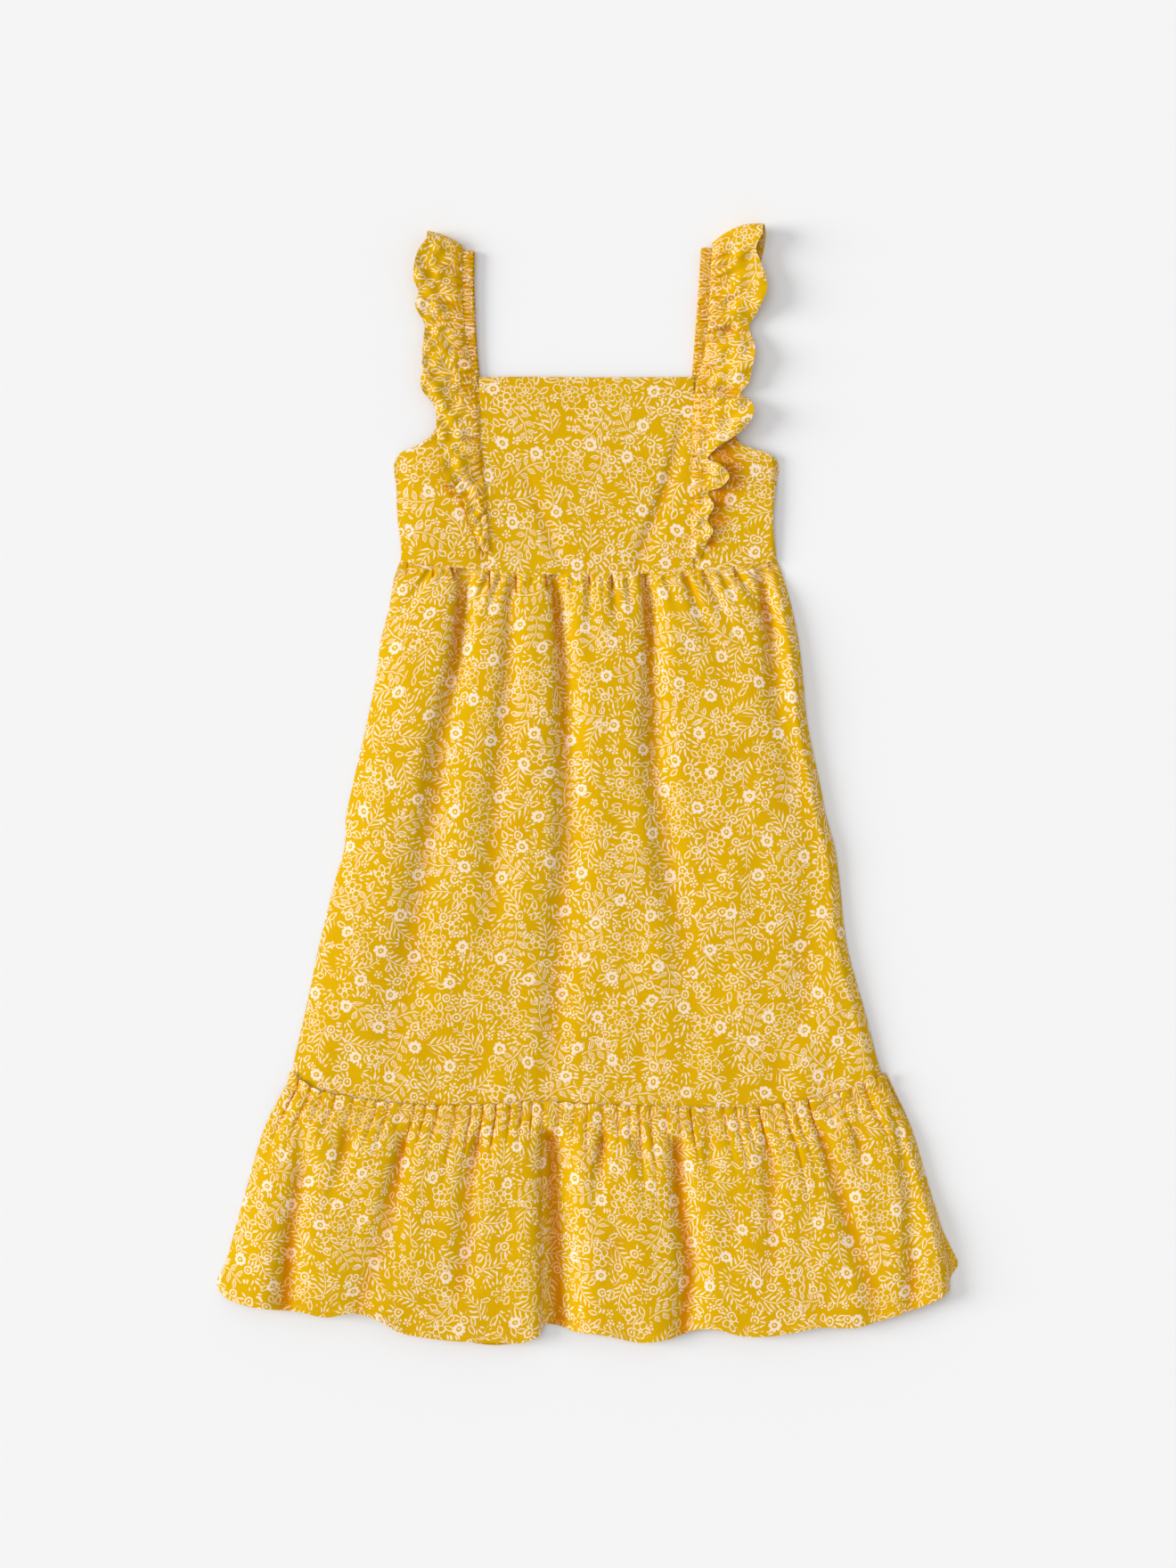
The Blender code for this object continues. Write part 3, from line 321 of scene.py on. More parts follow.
FLOUNCE_TROUGHS = (
    (
        (-222, -206.0, 1.2, 5, 6), (-250, -206.5, 3, 7, 8), (-277, -208.4, 4.6, 10, 11),
        (-328, -217.1, 5.6, 12, 12), (-365, -221.5, 4.4, 12, 12),
    ),
    (
        (-230, -168.6, 1.2, 5, 6), (-250, -173.6, 2.2, 6, 7), (-277, -180.8, 2, 7, 8),
        (-307, -190.9, 0.6, 8, 9),
    ),
    (
        (-235, -131.5, 1.4, 4, 6), (-250, -134.0, 3, 5, 8), (-277, -140.5, 2.8, 7, 10),
        (-319, -153.1, 2.2, 10, 13), (-374, -168.2, 1.6, 12, 14),
    ),
    (
        (-237, -78.5, 1.4, 4, 6), (-250, -81.5, 2.8, 5, 8), (-285, -90.1, 2.2, 8, 11),
        (-353, -96.4, 1.2, 11, 13),
    ),
    (
        (-233, -32.0, 2.2, 5, 7), (-250, -34.0, 7.4, 7, 9), (-311, -34.5, 9, 8, 11),
        (-382, -34.0, 9, 8, 12),
    ),
    (
        (-240, -24.0, 1.5, 7, 8), (-262, -23.0, 5.6, 8, 10), (-311, -22.0, 7, 8, 11),
        (-382, -21.0, 7, 9, 12),
    ),
    ((-236, 10.0, 1.4, 4, 5), (-250, 7.7, 3, 5, 6), (-277, 1.9, 2.6, 6, 8), (-311, 1.9, 0.6, 6, 8)),
    (
        (-238, 30.6, 1.2, 4, 5), (-252, 31.5, 2.4, 5, 6), (-277, 34.7, 1.2, 6, 7),
        (-295, 35.5, 0.4, 6, 7),
    ),
    (
        (-238, 58.6, 1.4, 4, 6), (-252, 58.6, 4.8, 6, 8), (-290, 58.6, 5, 9, 11),
        (-345, 63.9, 4.8, 12, 13), (-391, 60.1, 4.6, 12, 13),
    ),
    ((-240, 80.6, 0.8, 4, 5), (-260, 81.9, 2, 5, 6), (-284, 83.0, 0.5, 6, 7)),
    (
        (-238, 120.4, 0.8, 4, 5), (-252, 121.6, 2.2, 5, 7), (-285, 124.1, 1.6, 7, 9),
        (-330, 126.0, 0.6, 8, 10),
    ),
    (
        (-232, 157.0, 0.8, 4, 6), (-248, 161.9, 2.2, 6, 8), (-290, 172.0, 2.4, 8, 10),
        (-323, 182.7, 2.4, 9, 11), (-353, 190.9, 2, 9, 11), (-380, 196.0, 1.6, 9, 11),
    ),
    ((-230, 184.0, 0.8, 4, 5), (-252, 187.1, 2, 5, 6), (-275, 189.0, 0.5, 6, 7)),
    (
        (-222, 210.0, 0.8, 4, 5), (-244, 216.1, 2.8, 5, 7), (-290, 222.4, 3.2, 7, 9),
        (-345, 222.4, 2.8, 8, 9), (-370, 223.0, 2.2, 8, 9),
    ),
)
print("troughs: bodice", len(BODICE_TROUGHS), "skirt", len(SKIRT_TROUGHS), "flounce", len(FLOUNCE_TROUGHS))

# %% [markdown]
# ## Heights between the rows
# A straight blend between two rows would leave a corner in the fold, so a reading is the mean of a few just
# above and below. A brush could press a trough into a mesh, but as a formula, two halves of a bell, it can
# be moved by one number and shared by two sheets.

# %% Heights between the rows
TROUGH_RUN_IN = 10 * MM
TROUGH_RUN_OUT = 14 * MM
SOFTEN = 7 * MM
# Share of its tabled reach that a trough's left flank keeps.
STEEPER = 0.85
# How far a fold leans over the trough beside it, as a share of the trough's depth, and where its shoulder
# is and how broad, both as shares of the left flank's reach.
FOLD_LEAN, SHOULDER_PLACE, SHOULDER_REACH = 0.3, 1.25, 0.62
# Number of swells in an undulation, and the spans of their directions, stretches and starts.
SWELLS = 7
SWELL_SPANS = ((0, math.pi), (0.7, 1.5), (0, 6.28))


def read_off(table, y, column=1, soften=0.0):
    """The table's column at y, between its rows, whose first column is y. soften rounds its corners."""
    rows = np.array(sorted(table), float) * MM
    shifts = (-1.0, -0.5, 0.0, 0.5, 1.0) if soften else (0.0,)
    return sum(np.interp(y + shift * soften, rows[:, 0], rows[:, column]) for shift in shifts) / len(shifts)


def ease(low, high, value):
    """0 below low, 1 above high, and a smooth step between."""
    share = np.clip((value - low) / (high - low), 0.0, 1.0)
    return share * share * (3 - 2 * share)


def bell(distance, reach):
    """1 where distance is 0, falling away smoothly to both sides over the reach."""
    return np.exp(-((distance / reach) ** 2))


def troughs_at(troughs, x, y):
    """How far the troughs lower the cloth at x, y, and how far the folds beside them lean over them."""
    depth, lean = np.zeros_like(x), np.zeros_like(x)
    for rows in troughs:
        left_reach = STEEPER * read_off(rows, y, 3, SOFTEN)
        right_reach = read_off(rows, y, 4, SOFTEN)
        offset = x - read_off(rows, y, 1, SOFTEN) - left_reach / math.sqrt(2)
        first, last = rows[0][0] * MM, rows[-1][0] * MM
        run = (1 - ease(first, first + TROUGH_RUN_IN, y)) * ease(last - TROUGH_RUN_OUT, last, y)
        here = read_off(rows, y, 2, SOFTEN) * run
        depth += here * bell(offset, np.where(offset < 0, left_reach, right_reach))
        lean += FOLD_LEAN * here * bell(offset + SHOULDER_PLACE * left_reach, SHOULDER_REACH * left_reach)
    return depth, lean


def undulation(x, y, size, seed):
    """A slow, uneven swell between about -1 and 1, with waves roughly as long as size."""
    random = np.random.default_rng(seed)
    turns, stretches, shifts = (random.uniform(*span, SWELLS) for span in SWELL_SPANS)
    total = np.zeros_like(x)
    for turn, stretch, shift in zip(turns, stretches, shifts):
        total += np.sin(2 * math.pi * (x * math.cos(turn) + y * math.sin(turn)) / (size * stretch) + shift)
    return total / (SWELLS / 2)


halfway = float(read_off(SKIRT_LOFT, 0.0)) / MM
print("halfway down the dress the cloth lies", round(halfway, 1), "mm high")

# %% [markdown]
# ## From a surface to a sheet of cloth
# A sheet is a grid of points turned into four-sided faces, with a Solidify modifier for its thickness.
# The grid also carries a UV map named "cloth": where each point lies on the flat cloth, in metres. Folds
# and gathers squeeze a print together because the cloth's own length is used up in them, so the map
# measures length along the surface, row by row, and not straight across.

# %% Grids and lengths
def grid(surface, columns, downs):
    """The surface's points over a grid, and the across and down numbers of each. columns is a count of
    even steps or the places themselves."""
    columns = np.linspace(0.0, 1.0, columns + 1) if np.isscalar(columns) else columns
    across, down = np.meshgrid(columns, downs)
    return surface(across, down), across, down


def rows_from(*stretches):
    """Places of rows: each stretch is (start, end, count)."""
    places = [np.linspace(start, end, count, endpoint=False) for start, end, count in stretches]
    return np.concatenate(places + [[1.0]])


def length_across(points):
    """Length along each row of points, counted from the middle of the row."""
    run = length_along(points, axis=1)
    return run - run[:, run.shape[1] // 2, None]


def flat_area(cloth):
    """Area of the flat cloth that a grid of cloth places covers."""
    x, y = cloth[..., 0], cloth[..., 1]
    cross_x, cross_y = x[1:, 1:] - x[:-1, :-1], y[1:, 1:] - y[:-1, :-1]
    other_x, other_y = x[1:, :-1] - x[:-1, 1:], y[1:, :-1] - y[:-1, 1:]
    return float(np.abs(cross_x * other_y - cross_y * other_x).sum() / 2)


print("a trial set of rows:", rows_from((0.0, 0.2, 2), (0.2, 1.0, 4)).round(2).tolist())

# %% [markdown]
# ## Hollows
# Light bounces about in a fold and leaves it darker and warmer than open cloth. That shade is painted into
# the colour: each point keeps a number of painted shade, which the material reads, and here it is how far the
# point lies below the cloth on both sides. It could be painted on by hand, but worked out from the heights it
# fits every fold. The same number carries the shadow painted under the ruffles and the shade painted in
# pinches, creases and gathers.

# %% Hollows
# Points of a grid on each side, down it and across it, that each point's height is compared with.
HOLLOW_REACH = (7, 24)
# How suddenly the painted shadow under a ruffle ends: 2 would be a bell, and more is sharper.
COVER_EDGE = 2.6


def hollows(heights):
    """How deep each point of a grid lies below the cloth on both sides of it."""
    deepest = np.zeros_like(heights)
    for axis, reach in enumerate(HOLLOW_REACH):
        pad = [(reach, reach) if k == axis else (0, 0) for k in (0, 1)]
        run = np.cumsum(np.pad(heights, pad, mode="edge"), axis=axis)
        size = heights.shape[axis]
        ends = [np.take(run, range(start, start + size), axis) for start in (0, reach, 2 * reach)]
        before, after = (ends[1] - ends[0]) / reach, (ends[2] - ends[1]) / reach
        deepest = np.maximum(deepest, np.minimum(before, after) - heights)
    return deepest


def painted_ruffle_shadow(points, shadowed):
    """Painted shadow: 1 in the middle of each shadowed place, falling to 0 over its reach."""
    shares = [np.zeros(points.shape[:2])]
    for x, y, reach in shadowed:
        away = np.hypot(points[..., 0] - x * MM, points[..., 1] - y * MM)
        shares.append(np.exp(-((away / (reach * MM)) ** COVER_EDGE)))
    return np.max(shares, axis=0)


print("cover at half its reach:", round(math.exp(-(0.5**COVER_EDGE)), 2))

# %% [markdown]
# ## A sheet from a grid
# Cloth has a thickness that shows at its edges. The Solidify modifier gives it to a plain grid, and gives
# the inner face a material slot of its own, because a print shows paler on the wrong side. It is applied
# straight away, so that each piece is one plain mesh.

# %% A sheet from a grid
CLOTH = 0.45 * MM
# A depth below the cloth on both sides that gets the full painted fold shade.
DEEP_HOLLOW = 5.5 * MM
CRISP_EDGE = 60
# Corners of a face as rows and columns of its grid, anticlockwise where rows run down, and where they run up.
DOWN_FIRST = ((0, 0), (1, 0), (1, 1), (0, 1))
ACROSS_FIRST = ((0, 0), (0, 1), (1, 1), (1, 0))
flat_areas = {}


def faces_between(index, corners):
    """Four-sided faces between neighbours in a grid of point numbers."""
    rows, columns = index.shape[0] - 1, index.shape[1] - 1
    return np.stack([index[r : rows + r, c : columns + c] for r, c in corners], axis=-1).reshape(-1, 4)


def cloth_mesh(name, points, faces, places, painted_shade):
    """A mesh with its cloth map, places by face corner, and the shade painted at each point."""
    mesh = bpy.data.meshes.new(name)
    mesh.from_pydata(points.reshape(-1, 3).tolist(), [], faces)
    mesh.uv_layers.new(name="cloth").data.foreach_set("uv", places.ravel())
    mesh.attributes.new("painted_shade", "FLOAT", "POINT").data.foreach_set("value", painted_shade.ravel())
    return mesh


def sheet_of_cloth(name, points, cloth, thickness=CLOTH, flip=False, shade=0.0, deep=DEEP_HOLLOW):
    """A thin closed sheet as an object with its cloth map. Its printed face is the grid, seen with its
    rows running down and its columns to the right; flip is for a grid that is seen the other way."""
    index = np.arange(points[..., 0].size).reshape(points.shape[:2])
    faces = faces_between(index, DOWN_FIRST[::-1] if flip else DOWN_FIRST)
    # Painted shade of each point: the depth of its fold, or the painted shade given for it.
    painted_shade = np.maximum((hollows(points[..., 2]) / deep).clip(0.0, 1.0), shade)
    mesh = cloth_mesh(name, points, faces.tolist(), cloth.reshape(-1, 2)[faces.ravel()], painted_shade)
    # One slot for the printed face and one for the inner face; the materials come later.
    mesh.materials.append(None)
    mesh.materials.append(None)
    piece = put_in_scene(name, mesh)
    bpy.ops.object.select_all(action="DESELECT")
    piece.select_set(True)
    bpy.context.view_layer.objects.active = piece
    wall = piece.modifiers.new("wall", "SOLIDIFY")
    wall.thickness = thickness
    wall.offset = -1.0
    wall.material_offset = 1
    wall.use_quality_normals = True
    bpy.ops.object.modifier_apply(modifier="wall")
    bpy.ops.object.shade_smooth_by_angle(angle=math.radians(CRISP_EDGE))
    flat_areas[name] = flat_area(cloth)
    print(name, len(piece.data.polygons), "faces,", round(flat_areas[name] * 1e4), "square cm of cloth")
    return piece


print("thickness of the cloth in mm:", round(CLOTH / MM, 2))

# %% [markdown]
# ## Height of the bodice
# A bodice on a table is nearly level and rounds down at its sides, where it turns under to the back. A
# subdivided box would round all its edges alike; here each side has its own reach. A hem is a narrow band
# that stands up a little, with a line pressed in where it is stitched.

# %% Height of the bodice
SIDE_FLOOR = 1.1 * MM
BODICE_EDGE = 134 * MM
BODICE_ROUNDING = (30 * MM, 5 * MM)
ROUNDNESS = 2.2
BODICE_SWELL, BODICE_SWELL_SIZE = 0.25 * MM, 60 * MM
HEM_BAND, HEM_RISE, HEM_STEP = 4.6 * MM, 0.35 * MM, 0.9 * MM
HEM_STITCH, HEM_CREASE = 3.8 * MM, 0.5 * MM


def rounded(from_left, from_right, reaches):
    """0 at both side edges, rising to 1 like a soft fold over the left and the right reach."""
    left, right = (np.clip(near / reach, 0.0, 1.0) for near, reach in zip((from_left, from_right), reaches))
    return (1 - (1 - left) ** ROUNDNESS) * (1 - (1 - right) ** ROUNDNESS)


def settled(loft, rounding, floor_height=SIDE_FLOOR):
    """Height of cloth that rounds down to the floor's height at its side edges."""
    return floor_height + np.clip(loft - floor_height, 0.0, None) * rounding


def hem_band(distance):
    """The rise of a narrow hem, with a shallow line pressed in where it is stitched."""
    band = 1 - ease(HEM_BAND, HEM_BAND + HEM_STEP, distance)
    return HEM_RISE * (band - 0.5 * bell(distance - HEM_STITCH, HEM_CREASE))


def bodice_height(x, y):
    depth, _ = troughs_at(BODICE_TROUGHS, x, y)
    swell = BODICE_SWELL * undulation(x, y, BODICE_SWELL_SIZE, seed=3)
    loft = read_off(BODICE_LOFT, y, soften=SOFTEN) - depth + swell
    return settled(loft, rounded(BODICE_EDGE + x, BODICE_EDGE - x, BODICE_ROUNDING))


def waist_line(x):
    rows = np.array(WAIST) * MM
    return np.interp(x, rows[:, 0], rows[:, 1])


middle_height = float(bodice_height(np.zeros(1), np.full(1, 0.2))[0])
print("the middle of the bodice lies", round(middle_height / MM, 1), "mm high")

# %% [markdown]
# ## Bodice
# The front of the bodice is cut in three: a middle panel and two side panels, with a ruffle caught in
# each seam between them. It could be one sheet with lines drawn on it, but real seams are small grooves
# where two sheets dive down together, so each panel is its own sheet and drops a little at its edges.
# The side panels also lie lower than the middle one, because the ruffle's cloth has to get out of the
# seam above them. At the armholes the edge is folded over twice and stitched, and stands up as a band.

# %% Front of the bodice
SEAM_DROP, SEAM_REACH = 0.35 * MM, 1.2 * MM
NECK_DROP = 0.7 * MM
# The side panels' dip at the ruffle's seam; at the waist only its least share is left.
PANEL_DIP, PANEL_DIP_REACH, LEAST_DIP = 2.0 * MM, 8 * MM, 0.6
DIP_GROWS = (155 * MM, 175 * MM)
SEAM_LAP = 1.8
# y between which the hem of an armhole starts.
ARMHOLE_FOOT = (226 * MM, 232 * MM)
MIDDLE_COLUMNS, SIDE_COLUMNS = 110, 60
BODICE_ROWS = np.linspace(0, 1, 100)


def center_surface(across, down):
    flat = FRONT_CENTER(across, down)
    x, y = flat[..., 0], flat[..., 1]
    to_seam = np.minimum(across, 1 - across) * patch_width(FRONT_CENTER, down)
    to_neck = down * (NECKLINE[2][1] - WAIST_MIDDLE[2][1]) * MM
    seams = np.maximum(bell(to_seam, SEAM_REACH), bell(y - waist_line(x), SEAM_REACH))
    z = bodice_height(x, y) - SEAM_DROP * seams - NECK_DROP * bell(to_neck, SEAM_REACH)
    return np.stack([x, y, z], axis=-1)


def side_surface(shape, hand):
    """A side panel: the left one's armhole is at across = 0, and the right one's at 1."""

    def at(across, down):
        flat = shape(across, down)
        x, y = flat[..., 0], flat[..., 1]
        from_side = across if hand == LEFT else 1 - across
        to_edge, to_seam = from_side * patch_width(shape, down), (1 - from_side) * patch_width(shape, down)
        dip_here = LEAST_DIP + (1 - LEAST_DIP) * ease(*DIP_GROWS, y)
        z = bodice_height(x, y) - PANEL_DIP * dip_here * bell(to_seam, PANEL_DIP_REACH)
        z = z - SEAM_DROP * bell(y - waist_line(x), SEAM_REACH)
        return np.stack([x, y, z + hem_band(to_edge) * ease(*ARMHOLE_FOOT, y)], axis=-1)

    return at


def panel(name, surface, columns, downs, cut, shadowed=(), face_down=False):
    """A sheet whose print runs straight down it; cut is its place on the flat cloth, in metres."""
    points, _, _ = grid(surface, columns, downs)
    run = -length_across(points) if face_down else length_across(points)
    cloth = np.stack([run + cut[0], points[..., 1] + cut[1]], axis=-1)
    # Painted shadow where a ruffle stands over the panel; none on the back pieces.
    return sheet_of_cloth(name, points, cloth, flip=face_down, shade=painted_ruffle_shadow(points, shadowed))


# Places on the side panels where a shadow of the ruffles is painted: x, y, reach.
RUFFLE_SHADOWS_LEFT = (
    (-99, 210, 2.6), (-96, 205, 2.6), (-91, 202.5, 2.2), (-88.5, 197, 2.2), (-86.5, 191, 2.2),
    (-84, 185, 2.0), (-81.5, 179, 2.0), (-78, 172, 2.4), (-74.5, 165, 3.0),
)
RUFFLE_SHADOWS_RIGHT = (
    (88, 237, 8), (95, 233, 10), (100, 224, 10), (104, 213, 7), (94, 206, 8), (91, 199, 8), (91, 186, 8),
    (87, 171, 5), (104, 243, 6),
)

tucked_left, tucked_right = moved(SEAM_LEFT, x=SEAM_LAP), moved(SEAM_RIGHT, x=-SEAM_LAP)
left_shape = patch(
    (ARMHOLE_LEFT[0], tucked_left[0]),
    WAIST_LEFT[:-1] + (tucked_left[-1],),
    ARMHOLE_LEFT + SIDE_LEFT[1:],
    tucked_left,
)
right_shape = patch(
    (tucked_right[0], ARMHOLE_RIGHT[0]),
    (tucked_right[-1],) + WAIST_RIGHT[1:],
    tucked_right,
    ARMHOLE_RIGHT + SIDE_RIGHT[1:],
)
side_left_surface, side_right_surface = side_surface(left_shape, LEFT), side_surface(right_shape, RIGHT)
bodice_center = panel("bodice_center_cloth", center_surface, MIDDLE_COLUMNS, BODICE_ROWS, (0.0, 0.0))
bodice_left, bodice_right = (
    panel(name, surface, SIDE_COLUMNS, BODICE_ROWS, cut, shadowed)
    for name, surface, cut, shadowed in (
        ("bodice_left_cloth", side_left_surface, (-0.31, 0.05), RUFFLE_SHADOWS_LEFT),
        ("bodice_right_cloth", side_right_surface, (0.29, -0.04), RUFFLE_SHADOWS_RIGHT),
    )
)

# %% [markdown]
# ## Back of the bodice
# Nobody sees it in a flat lay, so it is finished plainly: one sheet, printed side down, cut straight
# across at the back neck. Its waves are shallow and never go below the table.

# %% Back of the bodice
BACK_NECK_Y = 231
BACK_NECK_LEFT = (-133.6, BACK_NECK_Y)
BACK_NECK_RIGHT = (129.8, BACK_NECK_Y)
BACK_INSET = 1.2
BACK_SWELL, BACK_SWELL_SIZE = 0.16 * MM, 34 * MM
BACK_COLUMNS, BACK_ROWS = 90, np.linspace(0, 1, 40)

back_left = (BACK_NECK_LEFT,) + moved(SIDE_LEFT[1:], x=BACK_INSET)
back_right = (BACK_NECK_RIGHT,) + moved(SIDE_RIGHT[1:], x=-BACK_INSET)
back_waist = (back_left[-1],) + WAIST[1:-1] + (back_right[-1],)
back_shape = patch((BACK_NECK_LEFT, BACK_NECK_RIGHT), back_waist, back_left, back_right)


def lying_back(shape, lift=lambda x, y, down: 0.0, seed=5):
    """A back panel's printed face, just off the table, as a surface."""

    def at(across, down):
        flat = shape(across, down)
        x, y = flat[..., 0], flat[..., 1]
        z = BACK_SWELL * (1 + undulation(x, y, BACK_SWELL_SIZE, seed)) + lift(x, y, down)
        return np.stack([x, y, np.clip(z, 0.0, None)], axis=-1)

    return at


bodice_back = panel(
    "bodice_back_cloth", lying_back(back_shape), BACK_COLUMNS, BACK_ROWS, (0.6, 0.3), face_down=True
)

# %% [markdown]
# ## Creases under the waist
# The skirt is cut wider than the waist and gathered into it. Near the seam that makes dozens of short
# creases, and lower down a few of them grow into long soft folds. A cloth simulation could find such
# folds, but not these ones, so they are placed one by one: the long folds and the clear creases come from
# tables, and the smallest creases are drawn at random from a fixed seed. Where a fold is deep, its
# shoulder leans over the trough, which makes the narrow dark line that a real fold has.

# %% Creases under the waist
# x, length, depth
WAIST_GATHERS = (
    (-126.6, 34, 2.0), (-109.6, 50, 2.4), (-79.5, 22, 1.4), (-69.3, 30, 2.2), (-60.5, 38, 2.0),
    (-49.8, 26, 2.2), (-38.5, 20, 1.5), (-10.5, 24, 1.7), (1.0, 44, 2.5), (17.0, 36, 2.4),
    (27.5, 18, 1.4), (54.0, 24, 1.7), (67.4, 52, 2.4), (81.3, 40, 2.2), (92.5, 22, 1.5),
    (103.3, 46, 2.3), (128.6, 26, 1.8),
)
GATHER_REACH, SMALL_GATHER_REACH = 1.9 * MM, 1.1 * MM
# x, start below the seam, end, how far it leans, share of the full depth and of the full painted shade, of
# the sharp pinches at the seam
WAIST_PINCHES = (
    (-127.3, 1, 11, -1.6, 0.7), (-109.3, 2, 10, 0.0, 0.6), (-96.4, 0, 10, 2.2, 1.0), (-93.0, 1, 6, -0.5, 0.5),
    (-69.5, 0, 16, 0.4, 0.8), (-51.0, 2, 18, 0.5, 0.8), (-29.8, 2, 13, 0.6, 1.0), (-25.5, 5, 16, 2.4, 0.7),
    (0.9, 1, 9, 0.0, 0.8), (17.0, 1, 13, 0.0, 0.7), (40.6, 0, 13, 0.0, 0.9), (67.4, 1, 8, 0.3, 0.3),
    (81.6, 0, 15, 0.6, 0.4), (103.4, 0, 15, 2.0, 0.5), (128.2, 1, 8, 0.4, 0.4),
)
PINCH_REACH, PINCH_DEPTH = 0.7 * MM, 1.8 * MM
# Shares of a pinch's length between which it opens out at the top and closes at the bottom.
PINCH_OPENS, PINCH_CLOSES = (-0.25, 0.1), (0.5, 1.1)
WAIST_BAND_Y = 147.8
WAIST_HALF, WAIST_SAG = 133, 9.4
# The smallest creases reach this far to both sides; their spacing, length and depth lie in these spans.
SMALL_GATHERS_END = 131.0
SMALL_SPACING, SMALL_LENGTH, SMALL_DEPTH = (3.0, 6.4), (6.0, 22.0), (0.5, 1.5)
# Distances below the seam: where a crease has its full depth, has doubled in width, and lies twice as far
# from the middle, as the gathers run apart like rays.
CREASE_BEGINS, CREASE_WIDENS, CREASES_SPREAD = 5 * MM, 28 * MM, 180 * MM


def small_gathers():
    """x, length and depth of the smallest creases under the waist, in millimetres."""
    random = np.random.default_rng(11)
    x = -SMALL_GATHERS_END
    while x < SMALL_GATHERS_END:
        x += random.uniform(*SMALL_SPACING)
        yield x, random.uniform(*SMALL_LENGTH), random.uniform(*SMALL_DEPTH)


SMALL_GATHERS = tuple(small_gathers())


def waist_creases(creases, x, below_waist, reach):
    """Depth of the creases under the waist seam, which spread and fade as they run down."""
    depth = np.zeros_like(x)
    for crease_x, crease_length, crease_depth in creases:
        offset = x / (1 + below_waist / CREASES_SPREAD) - crease_x * MM
        width = reach * (1 + below_waist / CREASE_WIDENS)
        fade = ease(0.0, CREASE_BEGINS, below_waist) * bell(below_waist, crease_length * MM)
        depth += crease_depth * MM * fade * bell(offset, width)
    return depth


def waist_pinches(x, below_waist):
    """1 in the middle of each sharp pinch at the waist seam, 0 away from them."""
    shares = np.zeros_like(x)
    for pinch_x, start, end, lean, strength in WAIST_PINCHES:
        along = (below_waist / MM - start) / (end - start)
        offset = x - (pinch_x + lean * along) * MM
        fade = strength * ease(*PINCH_OPENS, along) * (1 - ease(*PINCH_CLOSES, along))
        shares = np.maximum(shares, fade * bell(offset, PINCH_REACH))
    return shares


def below_waist_seam(x, y):
    return np.clip((WAIST_BAND_Y + WAIST_SAG * (x / (WAIST_HALF * MM)) ** 2) * MM - y, 0.0, None)


print("creases: clear", len(WAIST_GATHERS), "small", len(SMALL_GATHERS), "pinched", len(WAIST_PINCHES))

# %% [markdown]
# ## Front of the skirt
# The skirt's height is a sum: how high it lies, less troughs, pinches and creases, plus a slow swell. It
# sinks a little into the waist seam. The rows lie close together at the top, where the detail is, and the
# cloth map is wider there, as gathers take up cloth.

# %% Front of the skirt
# The swells are longer down the skirt than across, this many times.
SKIRT_SWELL, SKIRT_SWELL_SIZE, SKIRT_SWELL_BEGINS = 0.55 * MM, 34 * MM, 30 * MM
SWELL_LONGER = 2.2
SIDE_ROUNDING = (45 * MM, 9 * MM)
SKIRT_TUCK = 12
# Near its lower edge the skirt is kept up, off the back of the flounce.
SEAM_LIFT, SEAM_LIFT_Y = 0.8 * MM, (-184 * MM, -150 * MM)
WAIST_DROP = 0.7 * MM
# Cloth that the waist's gathers take up, as a share of the width, and how far down the skirt it fades.
WAIST_FULLNESS, FULLNESS_FADE = 0.28, 0.12
FOLDED_LENGTH = 1.02
SKIRT_COLUMNS = 400
SKIRT_ROWS = rows_from((0.0, 0.03, 9), (0.03, 0.16, 26), (0.16, 1.0, 62))


def skirt_places(x, y, rounding):
    """Height of the skirt's front, and how far a fold leans, at x, y."""
    below_waist = below_waist_seam(x, y)
    depth, lean = troughs_at(SKIRT_TROUGHS, x, y)
    depth += PINCH_DEPTH * waist_pinches(x, below_waist)
    depth += waist_creases(WAIST_GATHERS, x, below_waist, GATHER_REACH)
    depth += waist_creases(SMALL_GATHERS, x, below_waist, SMALL_GATHER_REACH)
    swell = SKIRT_SWELL * undulation(x, y / SWELL_LONGER, SKIRT_SWELL_SIZE, seed=21)
    swell = swell * ease(0.0, SKIRT_SWELL_BEGINS, below_waist)
    loft = read_off(SKIRT_LOFT, y, soften=SOFTEN) - depth + swell
    height = settled(loft, rounding, SIDE_FLOOR + SEAM_LIFT * (1 - ease(*SEAM_LIFT_Y, y)))
    return height - WAIST_DROP * bell(below_waist, SEAM_REACH), lean * rounding


skirt_top = moved(WAIST, y=SEAM_LAP)
skirt_left, skirt_right = (skirt_top[0],) + SKIRT_LEFT[1:], (skirt_top[-1],) + SKIRT_RIGHT[1:]
skirt_bottom = (skirt_left[-1],) + moved(FRILL, y=-SKIRT_TUCK)[1:-1] + (skirt_right[-1],)
SKIRT = patch(skirt_top, skirt_bottom, skirt_left, skirt_right)


def skirt_surface(across, down):
    flat = SKIRT(across, down)
    x, y = flat[..., 0], flat[..., 1]
    width = patch_width(SKIRT, down)
    z, lean = skirt_places(x, y, rounded(across * width, (1 - across) * width, SIDE_ROUNDING))
    return np.stack([x + lean, y, z], axis=-1)


points, across, down = grid(skirt_surface, SKIRT_COLUMNS, SKIRT_ROWS)
fullness = 1 + WAIST_FULLNESS * np.exp(-down / FULLNESS_FADE)
skirt_map = np.stack([length_across(points) * fullness + 0.03, points[..., 1] * FOLDED_LENGTH - 0.6], axis=-1)
